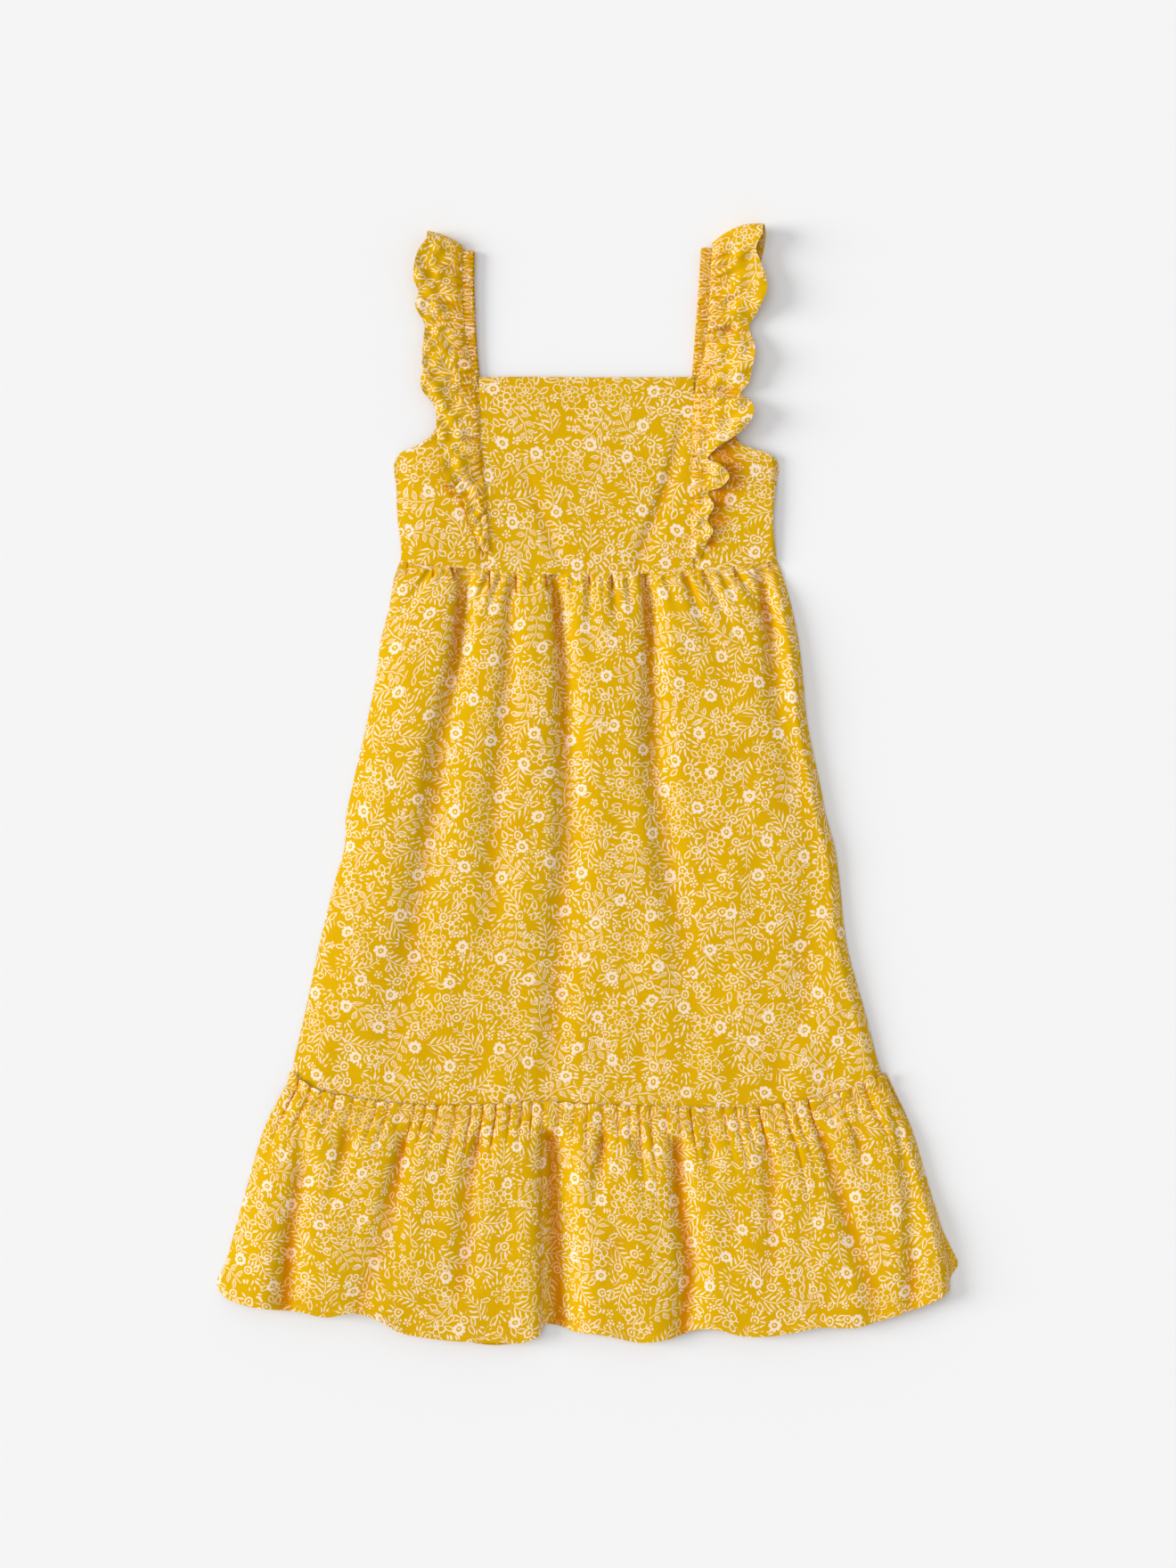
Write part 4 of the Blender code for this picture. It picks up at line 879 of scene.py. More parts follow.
# Painted shade in the sharp pinches at the waist, up to twice the fold shade, so their middles get the darker
# pinch shade.
pinched = waist_pinches(points[..., 0], below_waist_seam(points[..., 0], points[..., 1]))
skirt_front = sheet_of_cloth("skirt_front_cloth", points, skirt_map, shade=2.0 * pinched)

# %% [markdown]
# ## Back of the skirt
# A plain sheet again, printed side down. At its lower edge it lies on the heading of the back flounce.

# %% Back of the skirt
SKIRT_HALF = 150
HEADING_LIFT, HEADING_LIFT_Y = 0.9 * MM, (-196 * MM, -170 * MM)
# depth, pitch, how far they wander, pitch of the wander, fade down the piece
SKIRT_BACK_CREASES = (0.22 * MM, 1.9 * MM, 2.0, 23 * MM, 0.10)
SKIRT_BACK_COLUMNS, SKIRT_BACK_ROWS = 200, rows_from((0, 0.2, 16), (0.2, 1, 40))


def skirt_back_shape(across, down):
    flat = SKIRT(across, down)
    flat[..., 0] *= 1 - BACK_INSET / SKIRT_HALF
    return flat


def shallow_creases(x, down, depth, pitch, wander, wander_pitch, fade):
    """Even creases under a gathered seam, which wander a little and fade as they run down."""
    return depth * (1 + np.sin(x / pitch + wander * np.sin(x / wander_pitch))) * np.exp(-down / fade)


def back_gathers(x, y, down):
    """Shallow creases under the waist, and the step up onto the flounce's heading."""
    return shallow_creases(x, down, *SKIRT_BACK_CREASES) + HEADING_LIFT * (1 - ease(*HEADING_LIFT_Y, y))


skirt_back_surface = lying_back(skirt_back_shape, back_gathers, seed=6)
skirt_back = panel(
    "skirt_back_cloth", skirt_back_surface, SKIRT_BACK_COLUMNS, SKIRT_BACK_ROWS, (0.0, 1.0), face_down=True
)

# %% [markdown]
# ## Gathers of the flounce
# The flounce is a long straight strip, wider than the skirt, drawn up on a thread and stitched on so that
# a narrow frill, the heading, stands above the stitches. Every gather is a rounded ridge between two
# sharp creases. The creases differ in depth and length, so each has its own numbers from a fixed seed,
# and they are taken away from an even swell, which keeps the ridges between them in one piece. Lower
# down the strip falls in folds, and its hem waves.

# %% Gathers of the flounce
HEADING_DEPTH = 8 * MM
HEADING_RISE = 0.5 * MM
FLOUNCE_GATHERS = 46
# The creases wander along the strip, so that a few more numbers than gathers are needed.
FLOUNCE_CREASES = FLOUNCE_GATHERS + 8
# How the creases wander along the strip: amount and start in radians, with the waves between.
CREASE_WANDER = ((1.3, 31, 0.6), (0.8, 73, 2.0))
RIDGE_ROUNDNESS = 0.42
# Painted shade in the creases: where a deep crease is darkest, how dark it may get, and how soon that fades,
# as a share of its run.
PINCH_STRENGTH, PINCH_MOST, PINCH_RUN = 5.0, 2.0, 0.7
GATHER_SWELL, GATHER_SWELL_RUN = 1.5 * MM, 38 * MM
# Share of the gathers' height that is left where the thread holds them down.
HELD_DOWN = 0.25
# How soon they stand up again: over a share of the heading, and over a distance below the stitches.
FREE_ABOVE, FREE_BELOW = 0.625, 5 * MM
frill_line = smooth_line(FRILL)
random = np.random.default_rng(8)
FLOUNCE_CREASE_DEPTH = random.uniform(0.9, 2.3, FLOUNCE_CREASES) * MM
FLOUNCE_CREASE_RUN = random.uniform(12, 52, FLOUNCE_CREASES) * MM


def below_frill(across, y):
    return np.clip(frill_line(across)[..., 1] - y, 0.0, None)


def round_stitches(below_top):
    """How far past the stitches a place lies, and how far up the heading, as a share of it."""
    return np.clip(below_top - HEADING_DEPTH, 0.0, None), np.clip(1 - below_top / HEADING_DEPTH, 0.0, 1.0)


def ridges_and_creases(across):
    """Height of the nearest ridge as a share, which is 0 in a crease, and the nearest crease's number."""
    phase = 2 * math.pi * FLOUNCE_GATHERS * across
    for amount, waves, start in CREASE_WANDER:
        phase = phase + amount * np.sin(waves * across + start)
    phase = phase + 4 * math.pi
    return np.abs(np.sin(phase / 2)) ** RIDGE_ROUNDNESS, np.rint(phase / (2 * math.pi)).astype(int)


def painted_crease_shade(across, below_top):
    """Painted shade in each crease, as far as it is pinched shut: the deep ones stay dark for a few
    millimetres under the seam.
    """
    ridge, nearest = ridges_and_creases(across)
    past_stitches, _ = round_stitches(below_top)
    depth = FLOUNCE_CREASE_DEPTH[nearest] / FLOUNCE_CREASE_DEPTH.max()
    share = PINCH_STRENGTH * depth**1.5 * (1 - ridge) ** 3
    return np.minimum(share * bell(past_stitches, PINCH_RUN * FLOUNCE_CREASE_RUN[nearest]), PINCH_MOST)


def flounce_gathers(across, below_top):
    """Height of the gathers: a swell along the stitches, less a sharp crease between each two ridges."""
    ridge, nearest = ridges_and_creases(across)
    past_stitches, up_heading = round_stitches(below_top)
    let_go = np.maximum(ease(0.0, FREE_ABOVE, up_heading), ease(0.0, FREE_BELOW, past_stitches))
    swell = GATHER_SWELL * bell(past_stitches, GATHER_SWELL_RUN)
    creases = FLOUNCE_CREASE_DEPTH[nearest] * (1 - ridge) * bell(past_stitches, FLOUNCE_CREASE_RUN[nearest])
    return (swell - creases) * (HELD_DOWN + (1 - HELD_DOWN) * let_go) + HEADING_RISE * up_heading


print("deepest crease in mm:", round(float(FLOUNCE_CREASE_DEPTH.max()) / MM, 1))

# %% [markdown]
# ## Front of the flounce
# At its top the flounce lies on the skirt, and further down it has a height of its own; the two are
# blended over some millimetres. The heading's edge is scalloped. The strip was cut straight, so on the cloth
# map it is as wide at the stitches as at the hem, which squeezes the print together there.

# %% Front of the flounce
HEADING_SCALLOP = 2.0 * MM
# Share of a ridge's height at which the scalloped edge crosses the outline.
SCALLOP_LEVEL = 0.85
# Length of the flounce from the top of its heading to its hem, as it lies and as it was cut.
FLOUNCE_DEPTH, FLOUNCE_CUT = 165 * MM, 0.17
ON_SKIRT = 0.75 * MM
# Distances below the top between which the flounce comes down off the skirt.
OFF_SKIRT = ((SKIRT_TUCK + 1) * MM, (SKIRT_TUCK + 16) * MM)
FLOUNCE_SWELL, FLOUNCE_SWELL_SIZE = 0.5 * MM, 30 * MM
# The depth of a fold on the flounce that gets the full painted fold shade.
FLOUNCE_HOLLOW = 2.5 * MM
FLOUNCE_COLUMNS = 560
FLOUNCE_ROWS = rows_from((0.0, 0.12, 21), (0.12, 0.4, 25), (0.4, 0.955, 28), (0.955, 1.0, 9))
FLOUNCE = patch(FRILL, HEM, FLOUNCE_LEFT, FLOUNCE_RIGHT)


def flounce_surface(across, down):
    flat = FLOUNCE(across, down)
    x, y = flat[..., 0], flat[..., 1]
    below_top = below_frill(across, y)
    width = patch_width(FLOUNCE, down)
    rounding = rounded(across * width, (1 - across) * width, SIDE_ROUNDING)
    skirt_z, _ = skirt_places(x, y, rounding)
    depth, lean = troughs_at(FLOUNCE_TROUGHS, x, y)
    swell = FLOUNCE_SWELL * undulation(x, y / 2, FLOUNCE_SWELL_SIZE, seed=31)
    own = settled(read_off(FLOUNCE_LOFT, y, soften=SOFTEN) - depth + swell, rounding)
    on_skirt = 1 - ease(*OFF_SKIRT, below_top)
    z = (skirt_z + ON_SKIRT) * on_skirt + own * (1 - on_skirt) + flounce_gathers(across, below_top)
    z = z + hem_band((1 - down) * FLOUNCE_DEPTH)
    ridge, _ = ridges_and_creases(across)
    _, up_heading = round_stitches(below_top)
    y = y + HEADING_SCALLOP * up_heading * (ridge - SCALLOP_LEVEL)
    return np.stack([x + lean * (1 - on_skirt) * rounding, y, z], axis=-1)


points, across, down = grid(flounce_surface, FLOUNCE_COLUMNS, FLOUNCE_ROWS)
run = length_across(points)
hem_run = np.ptp(run[-1])
along_strip = run / np.ptp(run, axis=1)[:, None] * hem_run
flounce_map = np.stack([along_strip - 0.02, FLOUNCE_CUT * (1 - down) - 1.2], axis=-1)
# Painted shade in the deep creases under the stitches.
pinched = painted_crease_shade(across, below_frill(across, FLOUNCE(across, down)[..., 1]))
flounce_front = sheet_of_cloth(
    "flounce_front_cloth", points, flounce_map, shade=pinched, deep=FLOUNCE_HOLLOW
)
print("the strip is", round(hem_run, 3), "m long along its hem")

# %% [markdown]
# ## Back of the flounce
# It shows only past the front's right-hand corner, where its hem looks out a little.

# %% Back of the flounce
FLOUNCE_BACK_CREASES = (0.2 * MM, 2.1 * MM, 1.7, 31 * MM, 0.22)
FLOUNCE_BACK_COLUMNS, FLOUNCE_BACK_ROWS = 240, rows_from((0, 0.3, 14), (0.3, 1, 30))

left_edge = moved(FLOUNCE_LEFT, x=BACK_INSET)
back_top = (left_edge[0],) + FRILL[1:-1] + (BACK_FLOUNCE_RIGHT[0],)
back_hem = (left_edge[-1],) + moved(HEM, y=2)[2:-2:2] + (BACK_FLOUNCE_RIGHT[-1],)
flounce_back_shape = patch(back_top, back_hem, left_edge, BACK_FLOUNCE_RIGHT)


def back_frill_gathers(x, y, down):
    return shallow_creases(x, down, *FLOUNCE_BACK_CREASES)


flounce_back_surface = lying_back(flounce_back_shape, back_frill_gathers, seed=7)
flounce_back = panel(
    "flounce_back_cloth",
    flounce_back_surface,
    FLOUNCE_BACK_COLUMNS,
    FLOUNCE_BACK_ROWS,
    (0.5, 1.5),
    face_down=True,
)

# %% [markdown]
# ## Straps
# Each strap is a tube of the same cloth gathered on elastic, so it is ribbed across all the way. It runs
# from the neckline over the shoulder and down the back, where its end lies on the back of the bodice. The
# ribs are modelled, because they give the strap its broken edge, and the print is squeezed lengthways.

# %% A strap's way, and its ribs
# y, x of the edge at the neck
STRAP_EDGE_LEFT = ((376, -80), (355, -80.6), (325, -79.4), (302, -78.1), (287.9, -76.6))
STRAP_EDGE_RIGHT = ((378, 80), (355, 78.4), (325, 76.2), (302, 74.6), (287.9, 73.4))
# y, height of the middle of the strap's front half
STRAP_RISE = ((288, 3.4), (310, 3.7), (350, 4.6), (378, 5.0))
STRAP_HALF = 0.65 * MM
RIB_PITCH, RIB_HEIGHT = 2.9 * MM, 0.6 * MM
SHOULDER_RADIUS = 2.2 * MM
# The strap's end lies this much higher, over the back's neck edge, from the first y to the second.
OVER_BACK, OVER_BACK_Y = 0.9 * MM, ((BACK_NECK_Y + 3) * MM, (BACK_NECK_Y + 14) * MM)
# How the ribs drift along the strap, slant across it and differ in height: amount, length, across.
RIB_DRIFT, RIB_SLANT, RIB_UNEVEN = (1.4, 17 * MM), (1.6, 7 * MM, 3.1), (0.25, 3.7 * MM, 5)


def strap_turn(neck_edge):
    """y where a strap starts to turn over the shoulder, and its length from the neckline to there."""
    turn_y = neck_edge[0][0] * MM - SHOULDER_RADIUS
    return turn_y, turn_y - neck_edge[-1][0] * MM


def strap_route(neck_edge, place):
    """Middle of a strap, place metres along it from the front neckline over the shoulder to the back."""
    turn_y, front = strap_turn(neck_edge)
    angle = np.clip((place - front) / SHOULDER_RADIUS, 0.0, math.pi)
    past_turn = np.clip(place - front - math.pi * SHOULDER_RADIUS, 0.0, None)
    on_front = place < front
    y = np.where(on_front, turn_y - front + place, turn_y + SHOULDER_RADIUS * np.sin(angle) - past_turn)
    low, high = STRAP_HALF + RIB_HEIGHT, STRAP_RISE[-1][1] * MM
    back_z = low + OVER_BACK * (1 - ease(*OVER_BACK_Y, y))
    turn_z = low + (high - low) * 0.5 * (1 + np.cos(angle))
    z = np.where(on_front, read_off(STRAP_RISE, y), np.where(past_turn > 0, back_z, turn_z))
    return read_off(neck_edge, y, soften=SOFTEN), y, z


def ribs(across, place, hand):
    """Height of the ribs, from -1 in a groove to 1 on a crest; they wander and differ in height."""
    drift, drift_length = RIB_DRIFT
    slant, slant_length, slant_across = RIB_SLANT
    uneven, uneven_length, uneven_across = RIB_UNEVEN
    wander = drift * np.sin(place / drift_length + hand)
    wander = wander + slant * np.sin(across * slant_across + place / slant_length)
    height = 1 - uneven + uneven * np.sin(place / uneven_length + uneven_across * across)
    return np.cos(2 * math.pi * place / RIB_PITCH + wander) * height


print("left strap from neckline to shoulder in mm:", round(strap_turn(STRAP_EDGE_LEFT)[1] / MM, 1))

# %% [markdown]
# ## Tubes round the elastic
# A curve with a bevel would give a round tube of one thickness. Here the outer and the inner face are
# surfaces on both sides of one middle line, so the ribs swell them and push the edges in and out. The cloth
# map is opened along one edge, as if the tube had been unpicked.

# %% Straps
STRAP_WIDTH = 9.5 * MM
BACK_STRAP_LAP = 9 * MM
STRAP_GATHER = 1.6
STRAP_STEP = 0.42 * MM
STRAP_SIDE = np.linspace(0.0, 1.0, 9)
# A short way along the strap, to find which way it runs.
LOOK_AHEAD = 0.2 * MM
EDGE_WAVE = 0.35 * MM
# A strap is nearly as thick at its edges as in its middle.
CROWN, CROWN_ENDS = 0.45, (0.02, 0.98)
# Painted shade on the middle of a rib's flank, and how much darker its groove is painted.
FLANK_SHADE, GROOVE_SHADE = 0.25, 0.75


def strap_surface(neck_edge, hand, side):
    """The strap's outer face (side 1) or inner face (side -1): across its width, and metres along it."""

    def at(across, place):
        x, y, z = strap_route(neck_edge, place)
        _, next_y, next_z = strap_route(neck_edge, place + LOOK_AHEAD)
        run_y, run_z = next_y - y, next_z - z
        length = np.hypot(run_y, run_z)
        rib = ribs(across, place, hand)
        crown = np.sin(math.pi * np.clip(across, *CROWN_ENDS)) ** CROWN
        wavy_edge = EDGE_WAVE * rib * (2 * across - 1) ** 3
        x = x + (across if hand == RIGHT else across - 1) * STRAP_WIDTH + wavy_edge
        out = side * (STRAP_HALF + RIB_HEIGHT * rib) * crown
        return np.stack([x, y - run_z / length * out, z + run_y / length * out], axis=-1)

    return at


def round_strap(outer, inner):
    """Joins numbers across the outer and the inner face into one ring, without its first column again."""
    return np.concatenate([outer, inner[:, -2:0:-1]], axis=1)


def strap(name, neck_edge, hand, cut):
    """A closed ribbed tube: the grid runs round the strap, outer face and then inner face."""
    turn_y, front = strap_turn(neck_edge)
    end = front + math.pi * SHOULDER_RADIUS + turn_y - BACK_NECK_Y * MM + BACK_STRAP_LAP
    places = np.linspace(0.0, end, int(end / STRAP_STEP))
    outer, across, along = grid(strap_surface(neck_edge, hand, 1), STRAP_SIDE, places)
    inner, _, _ = grid(strap_surface(neck_edge, hand, -1), STRAP_SIDE, places)
    ring = round_strap(outer, inner)
    # Painted shade: none on the crests of the ribs, a little on their flanks, and full in their grooves.
    grooves = np.clip(FLANK_SHADE - GROOVE_SHADE * ribs(across, along, hand), 0.0, 1.0)
    rows, columns = ring.shape[:2]
    index = np.arange(rows * columns).reshape(rows, columns)
    index = np.concatenate([index, index[:, :1]], axis=1)
    ends = [tuple(index[0, -2::-1]), tuple(index[-1, :-1])]
    # The cloth map is cut open along one edge, so it has one column more than the ring.
    girth = np.concatenate([STRAP_SIDE, 2 - STRAP_SIDE[-2:0:-1], [2.0]]) * STRAP_WIDTH
    u, v = np.meshgrid(girth, places * STRAP_GATHER)
    cloth = np.stack([u + cut[0], v + cut[1]], axis=-1)
    opened = np.arange(u.size).reshape(u.shape)
    corners = [faces_between(opened, ACROSS_FIRST).ravel(), opened[0, -2::-1], opened[-1, :-1]]
    faces = faces_between(index, ACROSS_FIRST).tolist() + ends
    uv = cloth.reshape(-1, 2)[np.concatenate(corners)]
    mesh = cloth_mesh(name, ring, faces, uv, round_strap(grooves, grooves))
    mesh.materials.append(None)
    for face in mesh.polygons:
        face.use_smooth = len(face.vertices) == 4
    flat_areas[name] = flat_area(cloth) / 2
    print(name, len(mesh.polygons), "faces,", round(end, 3), "m long")
    return put_in_scene(name, mesh)


strap_left = strap("strap_left_cloth", STRAP_EDGE_LEFT, LEFT, (2.0, 0.0))
strap_right = strap("strap_right_cloth", STRAP_EDGE_RIGHT, RIGHT, (2.2, 0.3))

# %% [markdown]
# ## Ruffles
# A ruffle is a strip with one edge gathered into the strap and the bodice seam, and the other edge free
# and much longer, so it waves. Each wave of the free edge is a row of a table: where it leaves the seam,
# where its edge is, and how high it stands. An array of equal waves would look like a paper frill.

# %% Outlines of the ruffles
# y, x of the line where each is sewn in
RUFFLE_SEAM_LEFT = (
    (382, -89.9), (355, -90.5), (330, -89.6), (310, -87.0), (296, -83.2), (284, -79.4), (268, -77.0),
    (238, -75.6), (215, -73.4), (183, -70.9), (165, -70.8),
)
RUFFLE_SEAM_RIGHT = (
    (384, 89.9), (355, 88.6), (330, 87.2), (312, 85.6), (296, 83.0), (284, 78.6), (272, 76.2), (254, 75.8),
    (225, 75.6), (207, 75.2), (185, 74.6), (158, 75.0),
)
# y where the ruffle leaves its seam, x and y of its free edge, height of the free edge above the seam
RUFFLE_EDGE_LEFT = (
    (378, -113.0, 385.0, 6.0), (362, -120.4, 373.6, 5.0), (352, -123.0, 356.4, 5.0),
    (343, -119.6, 347.0, 1.6), (333, -121.8, 337.6, 4.6), (322, -115.6, 325.0, 1.6),
    (308, -116.6, 309.0, 4.4), (297, -116.8, 295.0, 3.0), (284, -117.4, 279.0, 5.4),
    (272, -108.0, 266.0, 1.8), (258, -106.8, 252.0, 3.8), (244, -105.6, 238.0, 3.6),
    (232, -103.0, 223.0, 5.4), (222, -98.0, 209.0, 4.6), (213, -88.4, 202.5, 1.4),
    (200, -86.3, 192.0, 3.4), (188, -81.6, 180.0, 1.6), (176, -76.8, 169.0, 2.2),
    (165, -73.2, 163.0, 1.2),
)
RUFFLE_EDGE_RIGHT = (
    (380, 122.5, 387.0, 11.0), (370, 118.2, 377.0, 8.0), (359, 122.4, 366.0, 5.0),
    (346, 126.2, 350.0, 8.0), (332, 119.6, 333.0, 6.0), (321, 113.8, 323.0, 1.8),
    (308, 117.4, 308.6, 7.0), (296, 115.6, 292.6, 8.0), (287, 112.6, 282.0, 6.4),
    (279, 107.6, 275.4, 1.8), (270, 114.6, 270.4, 7.4), (261, 116.6, 261.0, 9.0),
    (253, 110.4, 250.4, 9.0), (245, 100.6, 243.0, 7.0), (237, 89.6, 235.6, 3.6),
    (230, 84.4, 229.4, 1.4), (225, 93.4, 225.0, 5.6), (220, 99.4, 217.0, 6.6), (213, 94.4, 209.4, 5.0),
    (206, 84.8, 205.4, 1.4), (199, 88.6, 196.6, 4.6), (187, 84.6, 185.6, 2.4), (180, 88.0, 178.6, 4.4),
    (172, 84.6, 171.4, 2.4), (160, 79.2, 158.4, 1.0),
)
RUFFLE_SEAM = {LEFT: RUFFLE_SEAM_LEFT, RIGHT: RUFFLE_SEAM_RIGHT}
RUFFLE_EDGE = {LEFT: RUFFLE_EDGE_LEFT, RIGHT: RUFFLE_EDGE_RIGHT}
print("rows of the free edges:", len(RUFFLE_EDGE_LEFT), "left,", len(RUFFLE_EDGE_RIGHT), "right")

# %% [markdown]
# ## Seam and free edge
# The seam follows the bodice and then steps up onto the strap. At the shoulder both lines turn over to the
# back. A bend modifier would turn the whole sheet, so the front and the back are worked out apart, and half
# a turn of a circle joins them.

# %% Seam and free edge
RUFFLE_FRONT = 0.60
RUFFLE_TURN = 0.05
# width at the shoulder, and the share of it that is gone at the back neck
RUFFLE_BACK = {LEFT: (24 * MM, 0.45), RIGHT: (36 * MM, 0.85)}
RUFFLE_SHOULDER_WIDEN = 6 * MM
# How far each goes past its seam, and how far it drops there; the right one laps over the middle panel.
RUFFLE_TUCK = {LEFT: (1.5 * MM, 0.9 * MM), RIGHT: (2.2 * MM, -0.15 * MM)}
# y between which a ruffle steps up from the bodice onto the strap, and how high it lies on the strap.
RUFFLE_STEP, RUFFLE_ON_STRAP = (272 * MM, 286 * MM), 0.8 * STRAP_HALF + 0.4 * MM


def ruffle_front(hand, down):
    """The seam line and the free edge on the front: beside the middle panel, then beside the strap."""
    tuck, drop = RUFFLE_TUCK[hand]
    stations = smooth_line(RUFFLE_EDGE[hand][::-1])(down / RUFFLE_FRONT)
    seam_y, edge_x, edge_y, lift = np.moveaxis(stations, -1, 0)
    seam_x = read_off(RUFFLE_SEAM[hand], seam_y, soften=SOFTEN) - hand * tuck
    on_bodice = bodice_height(seam_x, seam_y) - drop
    on_strap = read_off(STRAP_RISE, seam_y) + RUFFLE_ON_STRAP
    share = ease(*RUFFLE_STEP, seam_y)
    seam_z = on_bodice * (1 - share) + on_strap * share
    return np.stack([seam_x, seam_y, seam_z], axis=-1), np.stack([edge_x, edge_y, seam_z + lift], axis=-1)


def ruffle_back(hand, fall):
    """The seam line and the free edge on the back; fall is 0 at the shoulder and 1 at the back neck."""
    shoulder_width, taper = RUFFLE_BACK[hand]
    shoulder_y = RUFFLE_EDGE[hand][0][0] * MM
    y = shoulder_y + ((BACK_NECK_Y + 0.5) * MM - shoulder_y) * fall
    x = np.full_like(fall, float(read_off(RUFFLE_SEAM[hand], shoulder_y)))
    z = np.full_like(fall, CLOTH)
    edge_x = x + hand * shoulder_width * (1 - taper * fall)
    edge_y = y + RUFFLE_SHOULDER_WIDEN * (1 - fall)
    return np.stack([x, y, z], axis=-1), np.stack([edge_x, edge_y, z], axis=-1)


def over_shoulder(front, back, angle):
    """One line from the front and the back ones, which turns over as the angle goes to half a turn."""
    point = back + (front - back) * (0.5 + 0.5 * np.cos(angle))[..., None]
    point[..., 1] += (front[..., 2] - back[..., 2]) / 2 * np.sin(angle)
    return point


lower_ends = [line[0].round(4).tolist() for line in ruffle_front(LEFT, np.zeros(1))]
print("seam and edge at the left ruffle's lower end:", lower_ends)

# %% [markdown]
# ## Creases of the ruffles
# A gathered edge makes fine, even gathers beside the seam, which soon fade, and longer creases that fan out
# of it, drawn at random from a fixed seed. The few that stand out on their own are listed one by one.

# %% Creases of the ruffles
# Single creases: x and y of one end, x and y of the other, depth
RUFFLE_FOLDS = {
    LEFT: (
        (-97, 207, -84.4, 220, 1.5), (-95, 204, -86, 212, 1.0), (-113, 290, -96, 286, 1.0),
        (-118, 338, -98, 344, 0.9), (-112, 316, -95, 322, 0.8), (-80, 165, -74, 178, 1.2),
    ),
    RIGHT: (
        (92, 336, 109.6, 346, 1.3), (90.5, 360, 97.7, 365.6, 1.1), (103.5, 357, 109.3, 358.8, 1.0),
        (92, 321, 113.7, 319.4, 1.2), (92, 279, 110, 277, 1.2), (77.5, 226, 83.8, 225, 1.4),
        (84, 262, 98, 268, 1.0), (80, 240, 90, 246, 1.0), (86, 300, 99, 297, 0.9),
    ),
}
FOLD_REACH = 1.1 * MM
# The creases that fan out of the seam: spans of their depth, of how far across they end and how far down
# they lean, half a crease's width as a share of the length, and how much wider it is at the free edge.
RUFFLE_CREASES = 46
CREASE_DEPTHS, CREASE_ENDS, CREASE_LEANS = (0.9, 2.4), (0.3, 0.95), (-0.018, 0.018)
CREASE_HALF, CREASE_OPENS = 0.003, 1.2
# The fine gathers: pitch as a share of the length, height, and how far across they fade. They wander by a
# number of radians, with waves down the ruffle, first all of it and then its free edge.
GATHER_PITCH, GATHER_HEIGHT, GATHER_FADE, GATHER_EDGE = 0.0082, 0.35 * MM, 0.3, 1.6
GATHER_WANDER, EDGE_WANDER = (2.2, 31.0), (1.8, 90.0)


def gathers(across, down, hand):
    """Fine gathers beside the seam, from -1 in a groove to 1 on a crest, that fade out across the ruffle."""
    along = down / GATHER_PITCH + GATHER_WANDER[0] * np.sin(down * GATHER_WANDER[1] + hand)
    along = along + EDGE_WANDER[0] * across * np.sin(down * EDGE_WANDER[1])
    fade = np.exp(-((across / GATHER_FADE) ** GATHER_EDGE))
    return np.sin(2 * math.pi * along) * fade * (down < RUFFLE_FRONT)


def fanned_creases(hand):
    """Creases that fan out of the seam: their depth, as a function of across and down."""
    random = np.random.default_rng(40 + hand)
    places = np.sort(random.uniform(0.0, RUFFLE_FRONT, RUFFLE_CREASES))
    depths = random.uniform(*CREASE_DEPTHS, RUFFLE_CREASES) * MM
    ends = random.uniform(*CREASE_ENDS, RUFFLE_CREASES)
    leans = random.uniform(*CREASE_LEANS, RUFFLE_CREASES)

    def at(across, down):
        deepest = np.zeros_like(down)
        for place, depth, end, lean in zip(places, depths, ends, leans):
            aside = (down - place - lean * across) / (CREASE_HALF * (1 + CREASE_OPENS * across))
            deepest = np.maximum(deepest, depth * np.exp(-(aside**2) - (across / end) ** 2))
        return deepest

    return at


def single_folds(x, y, hand):
    """Depth of the creases that are listed one by one."""
    depth_here = np.zeros_like(x)
    for x_start, y_start, x_end, y_end, depth in RUFFLE_FOLDS[hand]:
        along_x, along_y = (x_end - x_start) * MM, (y_end - y_start) * MM
        from_x, from_y = x - x_start * MM, y - y_start * MM
        place = ((from_x * along_x + from_y * along_y) / (along_x**2 + along_y**2)).clip(0.0, 1.0)
        away = np.hypot(from_x - place * along_x, from_y - place * along_y)
        depth_here += depth * MM * bell(away, FOLD_REACH)
    return depth_here


print("single creases:", len(RUFFLE_FOLDS[LEFT]), "left,", len(RUFFLE_FOLDS[RIGHT]), "right")

# %% [markdown]
# ## Sheets of the ruffles
# The sheet is stretched between the two lines. It rises quickly from the seam, puffs up beside it, and
# crumples a little further out. The free edge is the longest line of the strip, so the cloth map measures
# along it, and the seam gets the same cloth in less length.

# %% Ruffles
# How far the middle of each bulges up over the shoulder.
RUFFLE_BOW = {LEFT: 1.5 * MM, RIGHT: 4.5 * MM}
RUFFLE_PUFF = 1.3 * MM
CRUMPLE, CRUMPLE_SIZE = 1.3 * MM, 13 * MM
# Shares of the way across between which a ruffle has left its seam, puffs up, and crumples.
OUT_OF_SEAM, PUFFS_UP, CRUMPLES = (0.03, 0.07), (0.02, 0.12), (0.1, 0.5)
# Shares of the length before the shoulder over which the bow begins and the creases fade.
BOW_BEGINS, CREASES_FADE = 0.06, 0.02
LIFT_CURVE, PUFF_CURVE = 0.75, 0.5
# The most painted shade, the painted shade beside the seam, and the painted shade in a groove of the fine
# gathers.
GATHER_SHADE = (0.65, 0.3, 0.7)
